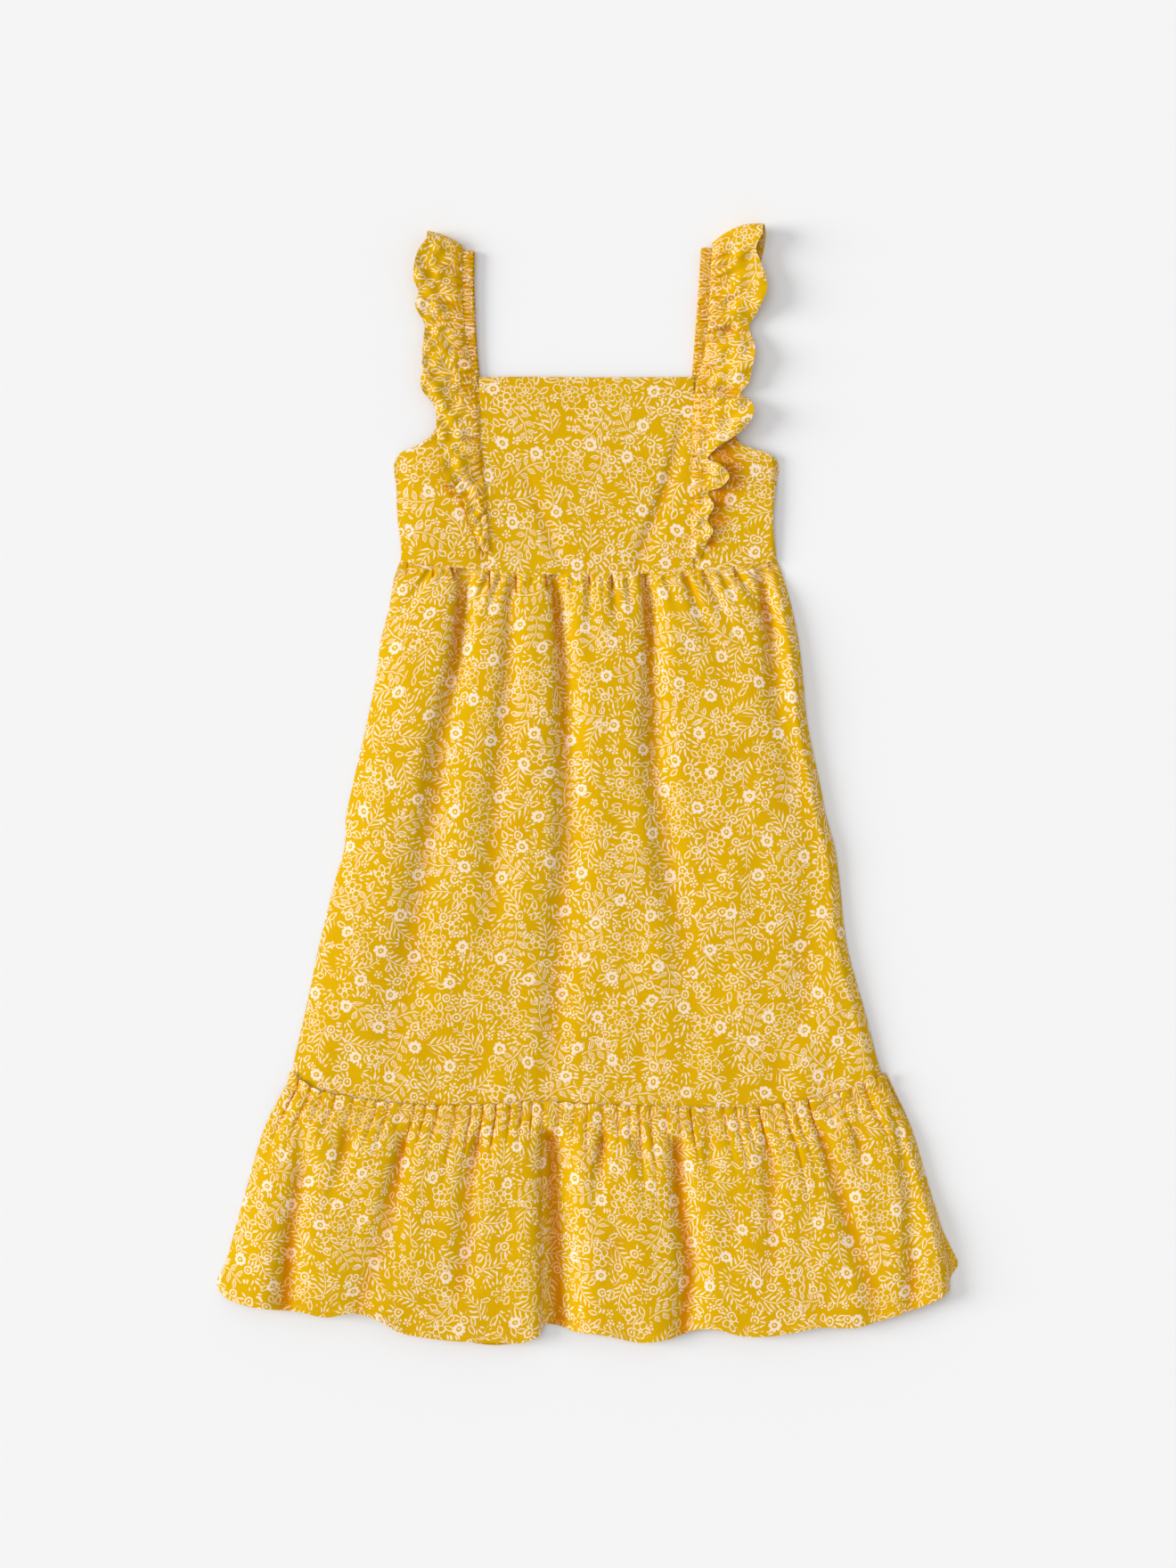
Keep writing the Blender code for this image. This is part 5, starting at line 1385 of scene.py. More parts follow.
# Thickness of a ruffle, and the depth of a fold on it that gets the full painted fold shade.
RUFFLE_CLOTH, RUFFLE_HOLLOW = 0.4 * MM, 1.7 * MM
RUFFLE_COLUMNS = np.linspace(0, 1, 25)
RUFFLE_BACK_START = RUFFLE_FRONT + RUFFLE_TURN
RUFFLE_ROWS = rows_from(
    (0, RUFFLE_FRONT, 420), (RUFFLE_FRONT, RUFFLE_BACK_START, 24), (RUFFLE_BACK_START, 1.0, 70)
)


def ruffle_surface(hand):
    """across runs from the seam to the free edge, down from the lower front end to the back neck."""
    creases = fanned_creases(hand)
    _, drop = RUFFLE_TUCK[hand]

    def at(across, down):
        fall = np.clip((down - RUFFLE_FRONT - RUFFLE_TURN) / (1 - RUFFLE_FRONT - RUFFLE_TURN), 0.0, 1.0)
        angle = math.pi * np.clip((down - RUFFLE_FRONT) / RUFFLE_TURN, 0.0, 1.0)
        borders = zip(ruffle_front(hand, down), ruffle_back(hand, fall))
        inner, outer = (over_shoulder(front, back, angle) for front, back in borders)
        x, y, _ = np.moveaxis(inner + (outer - inner) * across[..., None], -1, 0)
        z = inner[..., 2] + (outer[..., 2] - inner[..., 2]) * across**LIFT_CURVE
        z = z + drop * (1 - ease(*RUFFLE_STEP, y)) * (down < RUFFLE_FRONT) * ease(*OUT_OF_SEAM, across)
        near_turn = ease(RUFFLE_FRONT - BOW_BEGINS, RUFFLE_FRONT, down) * (1 - fall)
        y = y + RUFFLE_BOW[hand] * np.sin(math.pi * across) * near_turn
        on_front = 1 - ease(RUFFLE_FRONT - CREASES_FADE, RUFFLE_FRONT, down)
        puff = RUFFLE_PUFF * (1 - across) ** PUFF_CURVE + GATHER_HEIGHT * gathers(across, down, hand)
        z = z + (puff - creases(across, down)) * on_front * ease(*PUFFS_UP, across)
        crumple = CRUMPLE * undulation(x, y, CRUMPLE_SIZE, seed=60 + hand)
        z = z + (crumple * ease(*CRUMPLES, across) - single_folds(x, y, hand)) * on_front
        return np.stack([x, y, z], axis=-1)

    return at


def ruffle(name, hand, cut):
    points, across, down = grid(ruffle_surface(hand), RUFFLE_COLUMNS, RUFFLE_ROWS)
    edge = length_along(points[:, -1])
    out = length_along(points, axis=1)
    cloth = np.stack([out + cut[0], np.broadcast_to(edge[:, None], out.shape) + cut[1]], axis=-1)
    print(name, "free edge", round(float(edge[-1]), 3), "m")
    # Painted shade beside the seam and in the grooves of the fine gathers.
    darkest, beside_seam, in_groove = GATHER_SHADE
    shade = beside_seam * bell(across, GATHER_FADE) - in_groove * gathers(across, down, hand)
    shade = darkest * np.clip(shade, 0.0, 1.0)
    return sheet_of_cloth(name, points, cloth, RUFFLE_CLOTH, hand == RIGHT, shade, RUFFLE_HOLLOW)


ruffle_left = ruffle("ruffle_left_cloth", LEFT, (3.0, 0.0))
ruffle_right = ruffle("ruffle_right_cloth", RIGHT, (3.2, 0.4))

# %% [markdown]
# ## Stitches
# Machine stitches are short raised dashes of thread, a little under 3 mm apart. A texture could fake
# them, but they catch the light, so they are modelled: one stitch is a small six-sided capsule, and it is
# repeated along a line on a surface. All stitches on one piece are joined, because there are hundreds.

# %% One stitch
STITCH_PITCH, STITCH_LENGTH, THREAD = 2.9 * MM, 2.1 * MM, 0.2 * MM
STITCH_SIDES = 6
# Share of the stitch's length, and share of the thread's radius, for each ring of the capsule.
STITCH_RINGS = ((-0.38, 0.85), (0.0, 1.0), (0.38, 0.85))


def capsule(middle, along, up, first):
    """Points and faces of one stitch, whose first point has the number first."""
    aside = np.cross(along, up)
    turns = 2 * math.pi * np.arange(STITCH_SIDES) / STITCH_SIDES
    points = [middle - along * STITCH_LENGTH / 2]
    for share, size in STITCH_RINGS:
        ring = middle + along * STITCH_LENGTH * share
        points.extend(ring + THREAD * size * (math.cos(turn) * aside + math.sin(turn) * up) for turn in turns)
    points.append(middle + along * STITCH_LENGTH / 2)
    last = first + len(points) - 1
    faces = []
    for k in range(STITCH_SIDES):
        n = (k + 1) % STITCH_SIDES
        faces.append((first, first + 1 + n, first + 1 + k))
        for ring in range(len(STITCH_RINGS) - 1):
            low = first + 1 + ring * STITCH_SIDES
            faces.append((low + k, low + n, low + STITCH_SIDES + n, low + STITCH_SIDES + k))
        faces.append((last, last - STITCH_SIDES + k, last - STITCH_SIDES + n))
    return points, faces


one_stitch = capsule(np.zeros(3), np.array([1.0, 0.0, 0.0]), np.array([0.0, 0.0, 1.0]), 0)
print("one stitch:", len(one_stitch[0]), "points and", len(one_stitch[1]), "faces")

# %% [markdown]
# ## Rows of stitches
# A machine sews at an even pitch along the cloth, however it is folded. So the line's length is measured on
# the surface, and the stitches are set down along it, each one square on the cloth below.

# %% Rows of stitches
# How far the thread's middle stands over the cloth, in radii, and a short way across a piece to find which
# way it faces.
THREAD_RISE = 0.55
NUDGE = 0.004
# The stitches' lines stop a little short of the flounce's side edges; the hem of a side panel is stitched
# along the armhole only, which takes up this share of its side.
FLOUNCE_LINE, FLOUNCE_LINE_POINTS = (0.004, 0.996), 900
ARMHOLE_SHARE, ARMHOLE_LINE_POINTS = 0.62, 500
SIDE_PANEL_WIDTH = 60 * MM


def stitches(name, *lines):
    """One mesh of stitches along lines on a surface: each line is (surface, start, end, count of points),
    with start and end as across and down numbers."""
    points, faces = [], []
    for surface, start, end, count in lines:
        across, down = np.linspace(start[0], end[0], count), np.linspace(start[1], end[1], count)
        line = surface(across, down)
        run = length_along(line)
        middles = np.arange(STITCH_PITCH, run[-1] - STITCH_PITCH / 2, STITCH_PITCH)
        behind, ahead = (
            np.stack([np.interp(middles + half, run, line[:, k]) for k in range(3)], axis=-1)
            for half in (-STITCH_LENGTH / 2, STITCH_LENGTH / 2)
        )
        along = (ahead - behind) / np.linalg.norm(ahead - behind, axis=1, keepdims=True)
        a, d = np.interp(middles, run, across), np.interp(middles, run, down)
        over = surface(np.clip(a + NUDGE, 0, 1), d) - surface(np.clip(a - NUDGE, 0, 1), d)
        ways = surface(a, np.clip(d + NUDGE, 0, 1)) - surface(a, np.clip(d - NUDGE, 0, 1))
        up = np.cross(ways, over)
        up -= (up * along).sum(axis=1, keepdims=True) * along
        up /= np.linalg.norm(up, axis=1, keepdims=True)
        for place in zip((ahead + behind) / 2 + up * THREAD * THREAD_RISE, along, up):
            more_points, more_faces = capsule(*place, len(points))
            points.extend(more_points)
            faces.extend(more_faces)
    mesh = bpy.data.meshes.new(name)
    mesh.from_pydata([tuple(map(float, p)) for p in points], [], faces)
    mesh.polygons.foreach_set("use_smooth", [True] * len(mesh.polygons))
    print(name, len(faces), "faces")
    return put_in_scene(name, mesh)


heading_and_hem = (
    (flounce_surface, (FLOUNCE_LINE[0], down), (FLOUNCE_LINE[1], down), FLOUNCE_LINE_POINTS)
    for down in (HEADING_DEPTH / FLOUNCE_DEPTH, 1 - HEM_STITCH / FLOUNCE_DEPTH)
)
flounce_stitches = stitches("flounce_stitches", *heading_and_hem)
hem_across = HEM_STITCH / SIDE_PANEL_WIDTH
left_stitches, right_stitches = (
    stitches(name, (surface, (across, 0.0), (across, ARMHOLE_SHARE), ARMHOLE_LINE_POINTS))
    for name, surface, across in (
        ("armhole_left_stitches", side_left_surface, hem_across),
        ("armhole_right_stitches", side_right_surface, 1 - hem_across),
    )
)

# %% [markdown]
# ## A flower print made of numbers
# The print is small cream flowers, leaves and dots on mustard. An image would be the usual way, but a print
# that is worked out from the cloth map stays sharp at any distance. Each motif is a group of nodes that
# takes a place and answers 1 on its lines and 0 beside them. Such groups need hundreds of Math nodes, so
# this small class lets them be written as sums: adding two wires puts down an Add node.

# %% Wires: arithmetic that puts down nodes
class Wire:
    """A value in a node tree. Adding, multiplying and so on puts down the Math node that does it."""

    def __init__(self, tree, socket):
        self.tree = tree
        self.socket = socket

    def math(self, operation, *others):
        return put_node(self.tree, "Math", dict(enumerate((self, *others))), operation=operation)

    def within(self, half_width, soft=0.13):
        """1 where the number is under half_width, 0 where it is over, with a soft step between."""
        limits = {"Value": self, "From Min": half_width + soft, "From Max": half_width - soft}
        return put_node(self.tree, "MapRange", limits)

    def opposite(self):
        return self * -1.0 + 1.0


MATH = {
    "__add__": "ADD", "__sub__": "SUBTRACT", "__mul__": "MULTIPLY", "__truediv__": "DIVIDE",
    "__mod__": "FLOORED_MODULO", "__pow__": "POWER", "__abs__": "ABSOLUTE", "sin": "SINE", "cos": "COSINE",
    "most": "MAXIMUM", "least": "MINIMUM", "above": "GREATER_THAN", "below": "LESS_THAN",
}
for method, operation in MATH.items():
    setattr(Wire, method, partialmethod(Wire.math, operation))
print("what a wire can do:", ", ".join(name.lower() for name in MATH.values()))

# %% [markdown]
# ## Nodes and groups
# In the shader editor a node is added, set and linked by hand. These helpers do it in one call, and a wire
# among the inputs becomes a link. A group is a tree with sockets of its own, so a motif is built once and
# used in many places.

# %% Nodes and groups
VECTOR_SOCKETS = ("Vector", "Middle")


def plug(tree, node, inputs):
    """Sets the inputs of a node, by name or number: a wire is linked, and a plain value is set."""
    for place, value in inputs.items():
        if isinstance(value, Wire):
            tree.links.new(value.socket, node.inputs[place])
        else:
            node.inputs[place].default_value = value


def put_node(tree, kind, inputs, *outputs, **settings):
    """A new node with its settings and inputs; gives the wire of its first output, or of those named."""
    node = tree.nodes.new("ShaderNode" + kind)
    for name, value in settings.items():
        setattr(node, name, value)
    plug(tree, node, inputs)
    wires = [Wire(tree, node.outputs[place]) for place in outputs or (0,)]
    return wires if len(wires) > 1 else wires[0]


def node_group(name, inputs, outputs, build):
    """A node group. inputs and outputs are socket names; build makes the wires that go out of it from
    the wires that come in."""
    tree = bpy.data.node_groups.new(name, "ShaderNodeTree")
    for labels, direction in ((inputs, "INPUT"), (outputs, "OUTPUT")):
        for label in labels.split():
            kind = "NodeSocketVector" if label in VECTOR_SOCKETS else "NodeSocketFloat"
            tree.interface.new_socket(label, in_out=direction, socket_type=kind)
    start, end = tree.nodes.new("NodeGroupInput"), tree.nodes.new("NodeGroupOutput")
    wires = build(*(Wire(tree, socket) for socket in start.outputs if socket.name))
    plug(tree, end, dict(enumerate(wires if isinstance(wires, tuple) else (wires,))))
    return tree


def use_group(group, where, *values):
    """Puts a group down in the tree of the first value, and gives all its outputs in order."""
    outputs = range(sum(item.in_out == "OUTPUT" for item in group.interface.items_tree))
    return put_node(where.tree, "Group", dict(enumerate((where, *values))), *outputs, node_tree=group)


def distance(x, y):
    return (x * x + y * y).math("SQRT")


def angle(x, y):
    return y.math("ARCTAN2", x)


def parts_of(where):
    """The x and y of a vector wire."""
    return put_node(where.tree, "SeparateXYZ", {0: where}, 0, 1)


def scaled(where, factor):
    return put_node(where.tree, "VectorMath", {0: where, "Scale": factor}, operation="SCALE")


def turned(x, y, turn):
    """x and y seen from axes turned by an angle, a number or a wire."""
    if isinstance(turn, Wire):
        c, s = turn.cos(), turn.sin()
    else:
        c, s = math.cos(turn), math.sin(turn)
    return x * c + y * s, y * c - x * s


def petals(x, y, count, turn=0.0):
    """The nearest of count equal rays round the middle: distance out along it and sideways from it."""
    step = 2 * math.pi / count
    around = (angle(x, y) + turn + step / 2) % step - step / 2
    out = distance(x, y)
    return out * around.cos(), out * around.sin()


print("1, 0 seen after a quarter turn:", [round(v, 3) for v in turned(1.0, 0.0, math.pi / 2)])

# %% [markdown]
# ## The motifs
# Every motif is drawn round its own middle, in millimetres. A round flower is a ring whose radius goes in
# and out with the angle. A leaf is the space between two arcs. A number called chance, different for each
# copy of a motif, changes it a little, so that no two heads or sprigs are quite alike.

# %% Flowers
LINE = 0.34


def blossom(x, y, chance):
    """Eight filled petals round a ring of bare ground and a small dot."""
    out, side = petals(x, y, 8, chance)
    from_middle = distance(x, y)
    petal = distance((out - 3.0) / 1.45, side / 1.28).within(1.0, 0.16)
    bare = abs(from_middle - 1.5).within(0.4).opposite()
    return (petal * bare).most(from_middle.within(0.7))


def strokes(x, y, count, spread, start, reach, half_width):
    """Tapered strokes that fan out from the middle, as far to each side as spread, in radians."""
    around = angle(x, y)
    along, side = petals(x, y, count)
    ragged = (around * (count / 2) + 0.9).sin() * 1.1 + reach
    taper = ((along - start) * 0.45).least((ragged - along) * 0.22).least(half_width)
    return abs(side).within(taper, 0.1) * abs(around).within(spread, 0.05)


def disc_and_fan(x, y, chance):
    x = x + 2.6
    out = distance(x, y)
    rings = abs(out - 2.5).within(0.48).most(out.within(0.75))
    fan = strokes(x, y, count=11, spread=chance * 0.5 + 1.0, start=3.4, reach=8.6, half_width=0.6)
    return rings.most(fan)


def tuft(x, y, chance):
    """A tuft of leaves: strokes from one point, and a second row of them behind."""
    x = x + 5.0
    fan = strokes(x, y, count=11, spread=0.95, start=2.4, reach=7.4, half_width=0.6)
    behind = strokes(x, y, count=17, spread=0.8, start=7.4, reach=11.4, half_width=0.58)
    return fan.most(behind)


def outlined_flower(x, y, chance):
    out, side = petals(x, y, 5, 0.3)
    shape = distance((out - 3.5) / 1.15, side) - 2.05
    heart = abs(distance(x, y) - 0.95).within(0.32)
    return abs(shape).within(LINE).most(heart)


def ragged_flower(x, y, chance):
    around = angle(x, y)
    out = distance(x, y)
    edge = (around * 5.0 + chance * 6.0).sin() * 0.9 + (around * 11.0).sin() * 0.45 + 4.6
    broken = (around * 3.0 + chance * 9.0).sin().below(0.72)
    rim = abs(out - edge).within(0.42) * broken
    along, side = petals(x, y, 6, 0.5)
    return rim.most(abs(side).within(0.38) * abs(along - 2.4).within(0.8))


FLOWERS = (blossom, disc_and_fan, tuft, outlined_flower, ragged_flower)
print("flowers:", [draw.__name__ for draw in FLOWERS])

# %% [markdown]
# ## Leaves and dots
# Small leaves, rings of dots and pairs of bars fill the ground between the flowers. A leaf is an outline: a
# formula tells how far a place is from its edge, and a narrow band round the edge is the line. The leaves of
# the sprigs use the same formula.

# %% Leaves and dots
def leaf_shape(x, y, long, wide):
    """Negative inside an almond-shaped leaf that lies along x, and roughly the distance from its edge."""
    return abs(y) - (x * x * (-wide / long**2) + wide)


def small_leaf(x, y, chance):
    shape = leaf_shape(x, y, 3.8, 1.9)
    return abs(shape + 0.42).within(0.38, 0.14)


def dots(x, y, chance):
    out, side = petals(x, y, 5)
    ring = distance(out - 2.1, side).within(chance * 0.2 + 0.65)
    return ring.most(distance(x, y).within(0.7))


def bars(x, y, chance):
    pair = distance((abs(x) - 1.1) / 0.72, y / 1.6)
    return pair.within(1.0, 0.2)


FILLERS = (small_leaf, dots, bars)
print("fillers:", [draw.__name__ for draw in FILLERS])

# %% [markdown]
# ## Large motifs
# The large motifs give the print its rhythm: heads with three rings of petals, sprigs with paired leaves,
# and fronds. Leaves repeat along a stem by the remainder of a division, which needs no loop. Each motif then
# becomes a group with the same three inputs, and the tables say how often it is chosen.

# %% Large motifs
def sprig(x, y, chance):
    x = x - y * y * 0.02 + 1.2
    stem = abs(x).within(0.3) * abs(y).within(11.5)
    step = 5.8
    row = (y + chance * 3.0 + 30.0) % step - step / 2
    lx, ly = turned(abs(x) - 4.0, row - 1.3, 0.6)
    outline = abs(leaf_shape(lx, ly, 3.6, 1.6) + 0.3).within(0.28)
    rib = abs(ly).within(0.22) * abs(lx).within(2.2)
    return stem.most(outline.most(rib) * abs(y).within(11.0))


def frond(x, y, chance):
    """A curved stem with bold curved strokes on both sides, shorter towards its tip."""
    x = x + y * y * 0.022 - 1.2
    stem = abs(x).within(0.3) * abs(y).within(11.0)
    step = 3.4
    across = (y * 0.8 - abs(x) * 0.6 - x * x * 0.03 + 50.0) % step - step / 2
    reach = (y * -0.28 + 5.6).least((y + 13.5) * 1.2)
    taper = ((abs(x) - 0.7) * 0.6).least((reach - abs(x)) * 0.25).least(0.6)
    return stem.most(abs(across).within(taper, 0.1) * abs(y).within(12.0))


def flower_head(x, y, chance):
    out = distance(x, y)
    around = angle(x, y)
    mask = abs(out - 0.9).within(0.3)
    for count, radius, scallop, turn in ((4, 2.7, 1.3, 0.2), (7, 5.6, 2.1, 0.5), (9, 8.9, 2.5, 0.1)):
        lobe = abs(((around + turn) * (count / 2)).sin())
        waver = (around * 3.0 + chance * 6.0 + turn * 5.0).sin() * (radius * 0.12)
        edge = lobe * scallop + waver + (radius - scallop * 0.6)
        rim = abs(out - edge).within(0.33)
        along, side = petals(x, y, count, turn)
        vein = abs(side).within(0.3) * abs(along - (radius - 1.6) - waver).within(0.7)
        mask = mask.most(rim).most(vein)
    return mask


# The motifs for each size of cell, each with the pick below which it is chosen. Picks end at 1.
HEAD_SHARE = 0.2
LARGE_MOTIFS = ((flower_head, HEAD_SHARE), (sprig, 0.52), (frond, 2.0))
MEDIUM_MOTIFS = ((disc_and_fan, 0.40), (tuft, 0.80), (outlined_flower, 0.91), (ragged_flower, 2.0))
SMALL_MOTIFS = ((small_leaf, 0.56), (dots, 0.82), (bars, 2.0))
MOTIF_GROUPS = {
    draw: node_group(draw.__name__, "x y chance", "mask", draw)
    for draw in (*FLOWERS, *FILLERS, flower_head, sprig, frond)
}
print("motifs:", [group.name for group in MOTIF_GROUPS.values()])

# %% [markdown]
# ## Scattering the motifs
# A Voronoi texture divides the cloth into cells, one motif near the middle of each, turned at random. Three
# sizes of cell carry the big heads and sprigs, the flowers, and the leaves and dots that fill the ground.
# A smaller motif is left out where its middle falls on a bigger one, so nothing is drawn across another.

# %% Scatter
# Spacing of the cells in mm, and how unevenly their middles lie.
LARGE = (26.0, 0.62)
MEDIUM = (11.3, 0.72)
SMALL = (6.9, 0.5)
# How far a motif's middle has to be from the middle of a bigger one: from a large one for a medium or a
# small one, and from a medium one for a small one, in mm.
MEDIUM_FROM_LARGE, SMALL_FROM_LARGE, SMALL_FROM_MEDIUM = 13.4, 12.0, 5.3
# One medium cell in this many holds a solid blossom, on an even pattern.
BLOSSOM_EVERY = 5.0


def scatter(where, spacing, spread):
    """One motif near the middle of each cell: x and y from its middle in mm, turned at random, a pick and
    a chance between 0 and 1, and its middle."""
    cells = {"Vector": where, "Scale": spacing**-1.0, "Randomness": spread}
    middle, colour = put_node(where.tree, "TexVoronoi", cells, "Position", "Color", voronoi_dimensions="2D")
    from_middle = put_node(where.tree, "VectorMath", {0: where, 1: middle}, operation="SUBTRACT")
    turn, pick, chance = put_node(where.tree, "SeparateColor", {0: colour}, 0, 1, 2)
    return *turned(*parts_of(from_middle), turn * (2 * math.pi)), pick, chance, middle


def large_motifs(where):
    """The big heads and sprigs; near is the distance from the middle, less along a sprig than across."""
    x, y, pick, chance, _ = use_group(SCATTER, where, *LARGE)
    slim = pick.above(HEAD_SHARE)
    return x, y, pick, chance, distance(x * (slim + 1.0), y) * (slim * -0.2 + 1.2)


def medium_motifs(where):
    """The flowers: open is 1 where no big motif is in the way, and even is 1 where a blossom belongs."""
    x, y, pick, chance, middle = use_group(SCATTER, where, *MEDIUM)
    *_, near_large = use_group(LARGE_GROUP, middle)
    column, row = ((part / MEDIUM[0]).math("FLOOR") for part in parts_of(middle))
    even = ((column + row * 2.0) % BLOSSOM_EVERY).below(0.5)
    return x, y, pick, chance, distance(x, y), near_large.above(MEDIUM_FROM_LARGE), even


SCATTER = node_group("scatter", "Vector Spacing Spread", "x y pick chance Middle", scatter)
LARGE_GROUP = node_group("large_motifs", "Vector", "x y pick chance near", large_motifs)
MEDIUM_GROUP = node_group("medium_motifs", "Vector", "x y pick chance near open even", medium_motifs)
print("nodes in the scatter:", len(SCATTER.nodes) + len(LARGE_GROUP.nodes) + len(MEDIUM_GROUP.nodes))

# %% [markdown]
# ## The whole print
# A printed line is never perfect, so the places are first shifted a little by noise. Then the three sizes
# are laid over each other, and where they would meet the larger one is kept. The solid blossoms come out
# apart from the lines, because they are paler.

# %% The whole print
PRINT_SIZE = 1.06
WAVER, WAVER_SIZE = 2.2, 6.5


def noise(where, size, detail=2.0, output="Fac"):
    """Noise between 0 and 1 with shapes about size across, in the units of where."""
    inputs = {"Vector": where, "Scale": 1.0 / size, "Detail": detail}
    return put_node(where.tree, "TexNoise", inputs, output, noise_dimensions="2D")


def picked(motifs, x, y, pick, chance):
    """The lines of the motif that the pick chooses."""
    lines, lowest = None, -1.0
    for draw, highest in motifs:
        mask = use_group(MOTIF_GROUPS[draw], x, y, chance) * (pick.above(lowest) * pick.below(highest))
        lines = mask if lines is None else lines.most(mask)
        lowest = highest
    return lines


def flower_print(where):
    """The whole print on cloth places in millimetres: lines, and the paler solid blossoms."""
    where = scaled(where, 1 / PRINT_SIZE)
    # The places are shifted a little by noise, so that no circle or line comes out perfect.
    waver = noise(where, WAVER_SIZE, 1.0, "Color")
    shift = {0: waver, 1: (WAVER, WAVER, 0.0), 2: where}
    where = put_node(where.tree, "VectorMath", shift, operation="MULTIPLY_ADD")

    *large, _ = use_group(LARGE_GROUP, where)
    *medium, _, free, even = use_group(MEDIUM_GROUP, where)
    *small, middle = use_group(SCATTER, where, *SMALL)
    *_, near_large = use_group(LARGE_GROUP, middle)
    *_, near_medium, medium_open, _ = use_group(MEDIUM_GROUP, middle)
    past_medium = near_medium.above(SMALL_FROM_MEDIUM).most(medium_open.opposite())
    room = near_large.above(SMALL_FROM_LARGE) * past_medium

    x, y, _, chance = medium
    blossoms = use_group(MOTIF_GROUPS[blossom], x, y, chance) * even * free
    lines = picked(LARGE_MOTIFS, *large)
    lines = lines.most(picked(MEDIUM_MOTIFS, *medium) * (free * even.opposite()))
    return lines.most(picked(SMALL_MOTIFS, *small) * room), blossoms


FLOWER_PRINT = node_group("flower_print", "Vector", "Lines Blossoms", flower_print)
print("nodes in the print:", sum(len(group.nodes) for group in bpy.data.node_groups))

# %% [markdown]
# ## The cloth's finishes
# Three things make cotton look like cotton: its colour, its weave and its softness. The weave is a plain
# one, with threads about half a millimetre apart, and it only tilts the light a little. The creases are
# the small crushed shapes that washing leaves. The mustard ground isn't one flat colour, as cloth takes
# dye unevenly. Weave and creases are groups as well, because three materials use them.

# %% Weave and creases
WEAVE_PITCH = 0.5
# Sizes in mm of the broad and the fine creases, and of the patches of uneven dye.
BROAD_CREASES, FINE_CREASES, DYE_PATCHES = 21.0, 5.5, 46.0


def plain_weave(where, pitch):
    """Height of a plain weave, in shares of a thread's thickness, on cloth places in millimetres."""
    x, y = parts_of(where)
    turn = pitch**-1.0 * math.pi
    warp, weft = (x * turn).sin(), (y * turn).sin()
    return (warp * weft) * 0.25 + abs(warp) * 0.25 + abs(weft) * 0.25


def soft_creases(where):
    """Height of soft crushed creases, and a slow change of shade, on cloth places in millimetres."""
    broad, fine = noise(where, BROAD_CREASES), noise(where, FINE_CREASES, 3.0)
    return broad * 0.7 + fine * 0.3, noise(where, DYE_PATCHES, 3.0)


WEAVE = node_group("plain_weave", "Vector Pitch", "Height", plain_weave)
CREASES = node_group("soft_creases", "Vector", "Height Shade", soft_creases)
print("groups:", [group.name for group in bpy.data.node_groups])

# %% [markdown]
# ## Colours and bumps
# Colours are mixed, and heights tilt the light, in every material, so both nodes get a helper. A bump doesn't
# move the surface. It tilts the light as if it did, which is enough for a thread's thickness.

# %% Colours and bumps
# A Mix node has sockets for numbers, vectors and colours; these are the numbers of the colour sockets.
MIX_FIRST, MIX_SECOND, MIX_RESULT = 6, 7, 2


def mix(share, first, second, blend="MIX"):
    """A colour between first and second, each a colour or a wire."""
    inputs = {"Factor": share, MIX_FIRST: first, MIX_SECOND: second}
    return put_node(share.tree, "Mix", inputs, MIX_RESULT, data_type="RGBA", blend_type=blend)


def bump(height, depth, strength, **before):
    """The normal of a surface with these heights; before may give the Normal of a coarser one."""
    inputs = {"Height": height, "Distance": depth, "Strength": strength, **before}
    return put_node(height.tree, "Bump", inputs)


def principled(name, build):
    """A material with a Principled shader; build gives the shader's inputs from the material's tree."""
    material = bpy.data.materials.new(name)
    material.use_nodes = True
    tree = material.node_tree
    plug(tree, tree.nodes["Principled BSDF"], build(tree))
    return material


print("sockets of a colour mix:", MIX_FIRST, MIX_SECOND, "and", MIX_RESULT)

# %% [markdown]
# ## Printed cotton
# A real printed cotton has a right side, and a wrong side on which the print shows only faintly; on the
# elastic its small creases are shallower. All three are one recipe with other numbers. Each point's painted
# shade darkens its colour and makes it warmer: shade painted in folds, creases, pinches and under the
# ruffles.

# %% Printed cotton
GROUND = (0.725, 0.425, 0.001, 1.0)
GROUND_DEEP = (0.68, 0.375, 0.001, 1.0)
# Painted shade: colours that darken and warm the cloth in a fold, and darker still in a pinch.
PAINTED_FOLD_SHADE = (0.84, 0.51, 0.23, 1.0)
PAINTED_PINCH_SHADE = (0.55, 0.38, 0.3, 1.0)
LINE_COLOR = (0.95, 0.74, 0.50, 1.0)
BLOSSOM_COLOR = (0.95, 0.765, 0.58, 1.0)
WEAVE_DEPTH = 0.09 * MM
LAID_CREASES, STRAP_CREASES = 0.5 * MM, 0.3 * MM
WEAVE_STRENGTH, CREASE_STRENGTH = 0.5, 0.6
# Roughness of the cloth, and how much smoother the top of a thread is.
ROUGH, SMOOTHER = 0.9, -0.12
WRONG_SIDE_SHOWS = 0.45
SOFT_SHEEN = {"Sheen Weight": 0.01, "Sheen Roughness": 0.5, "Specular IOR Level": 0.03}


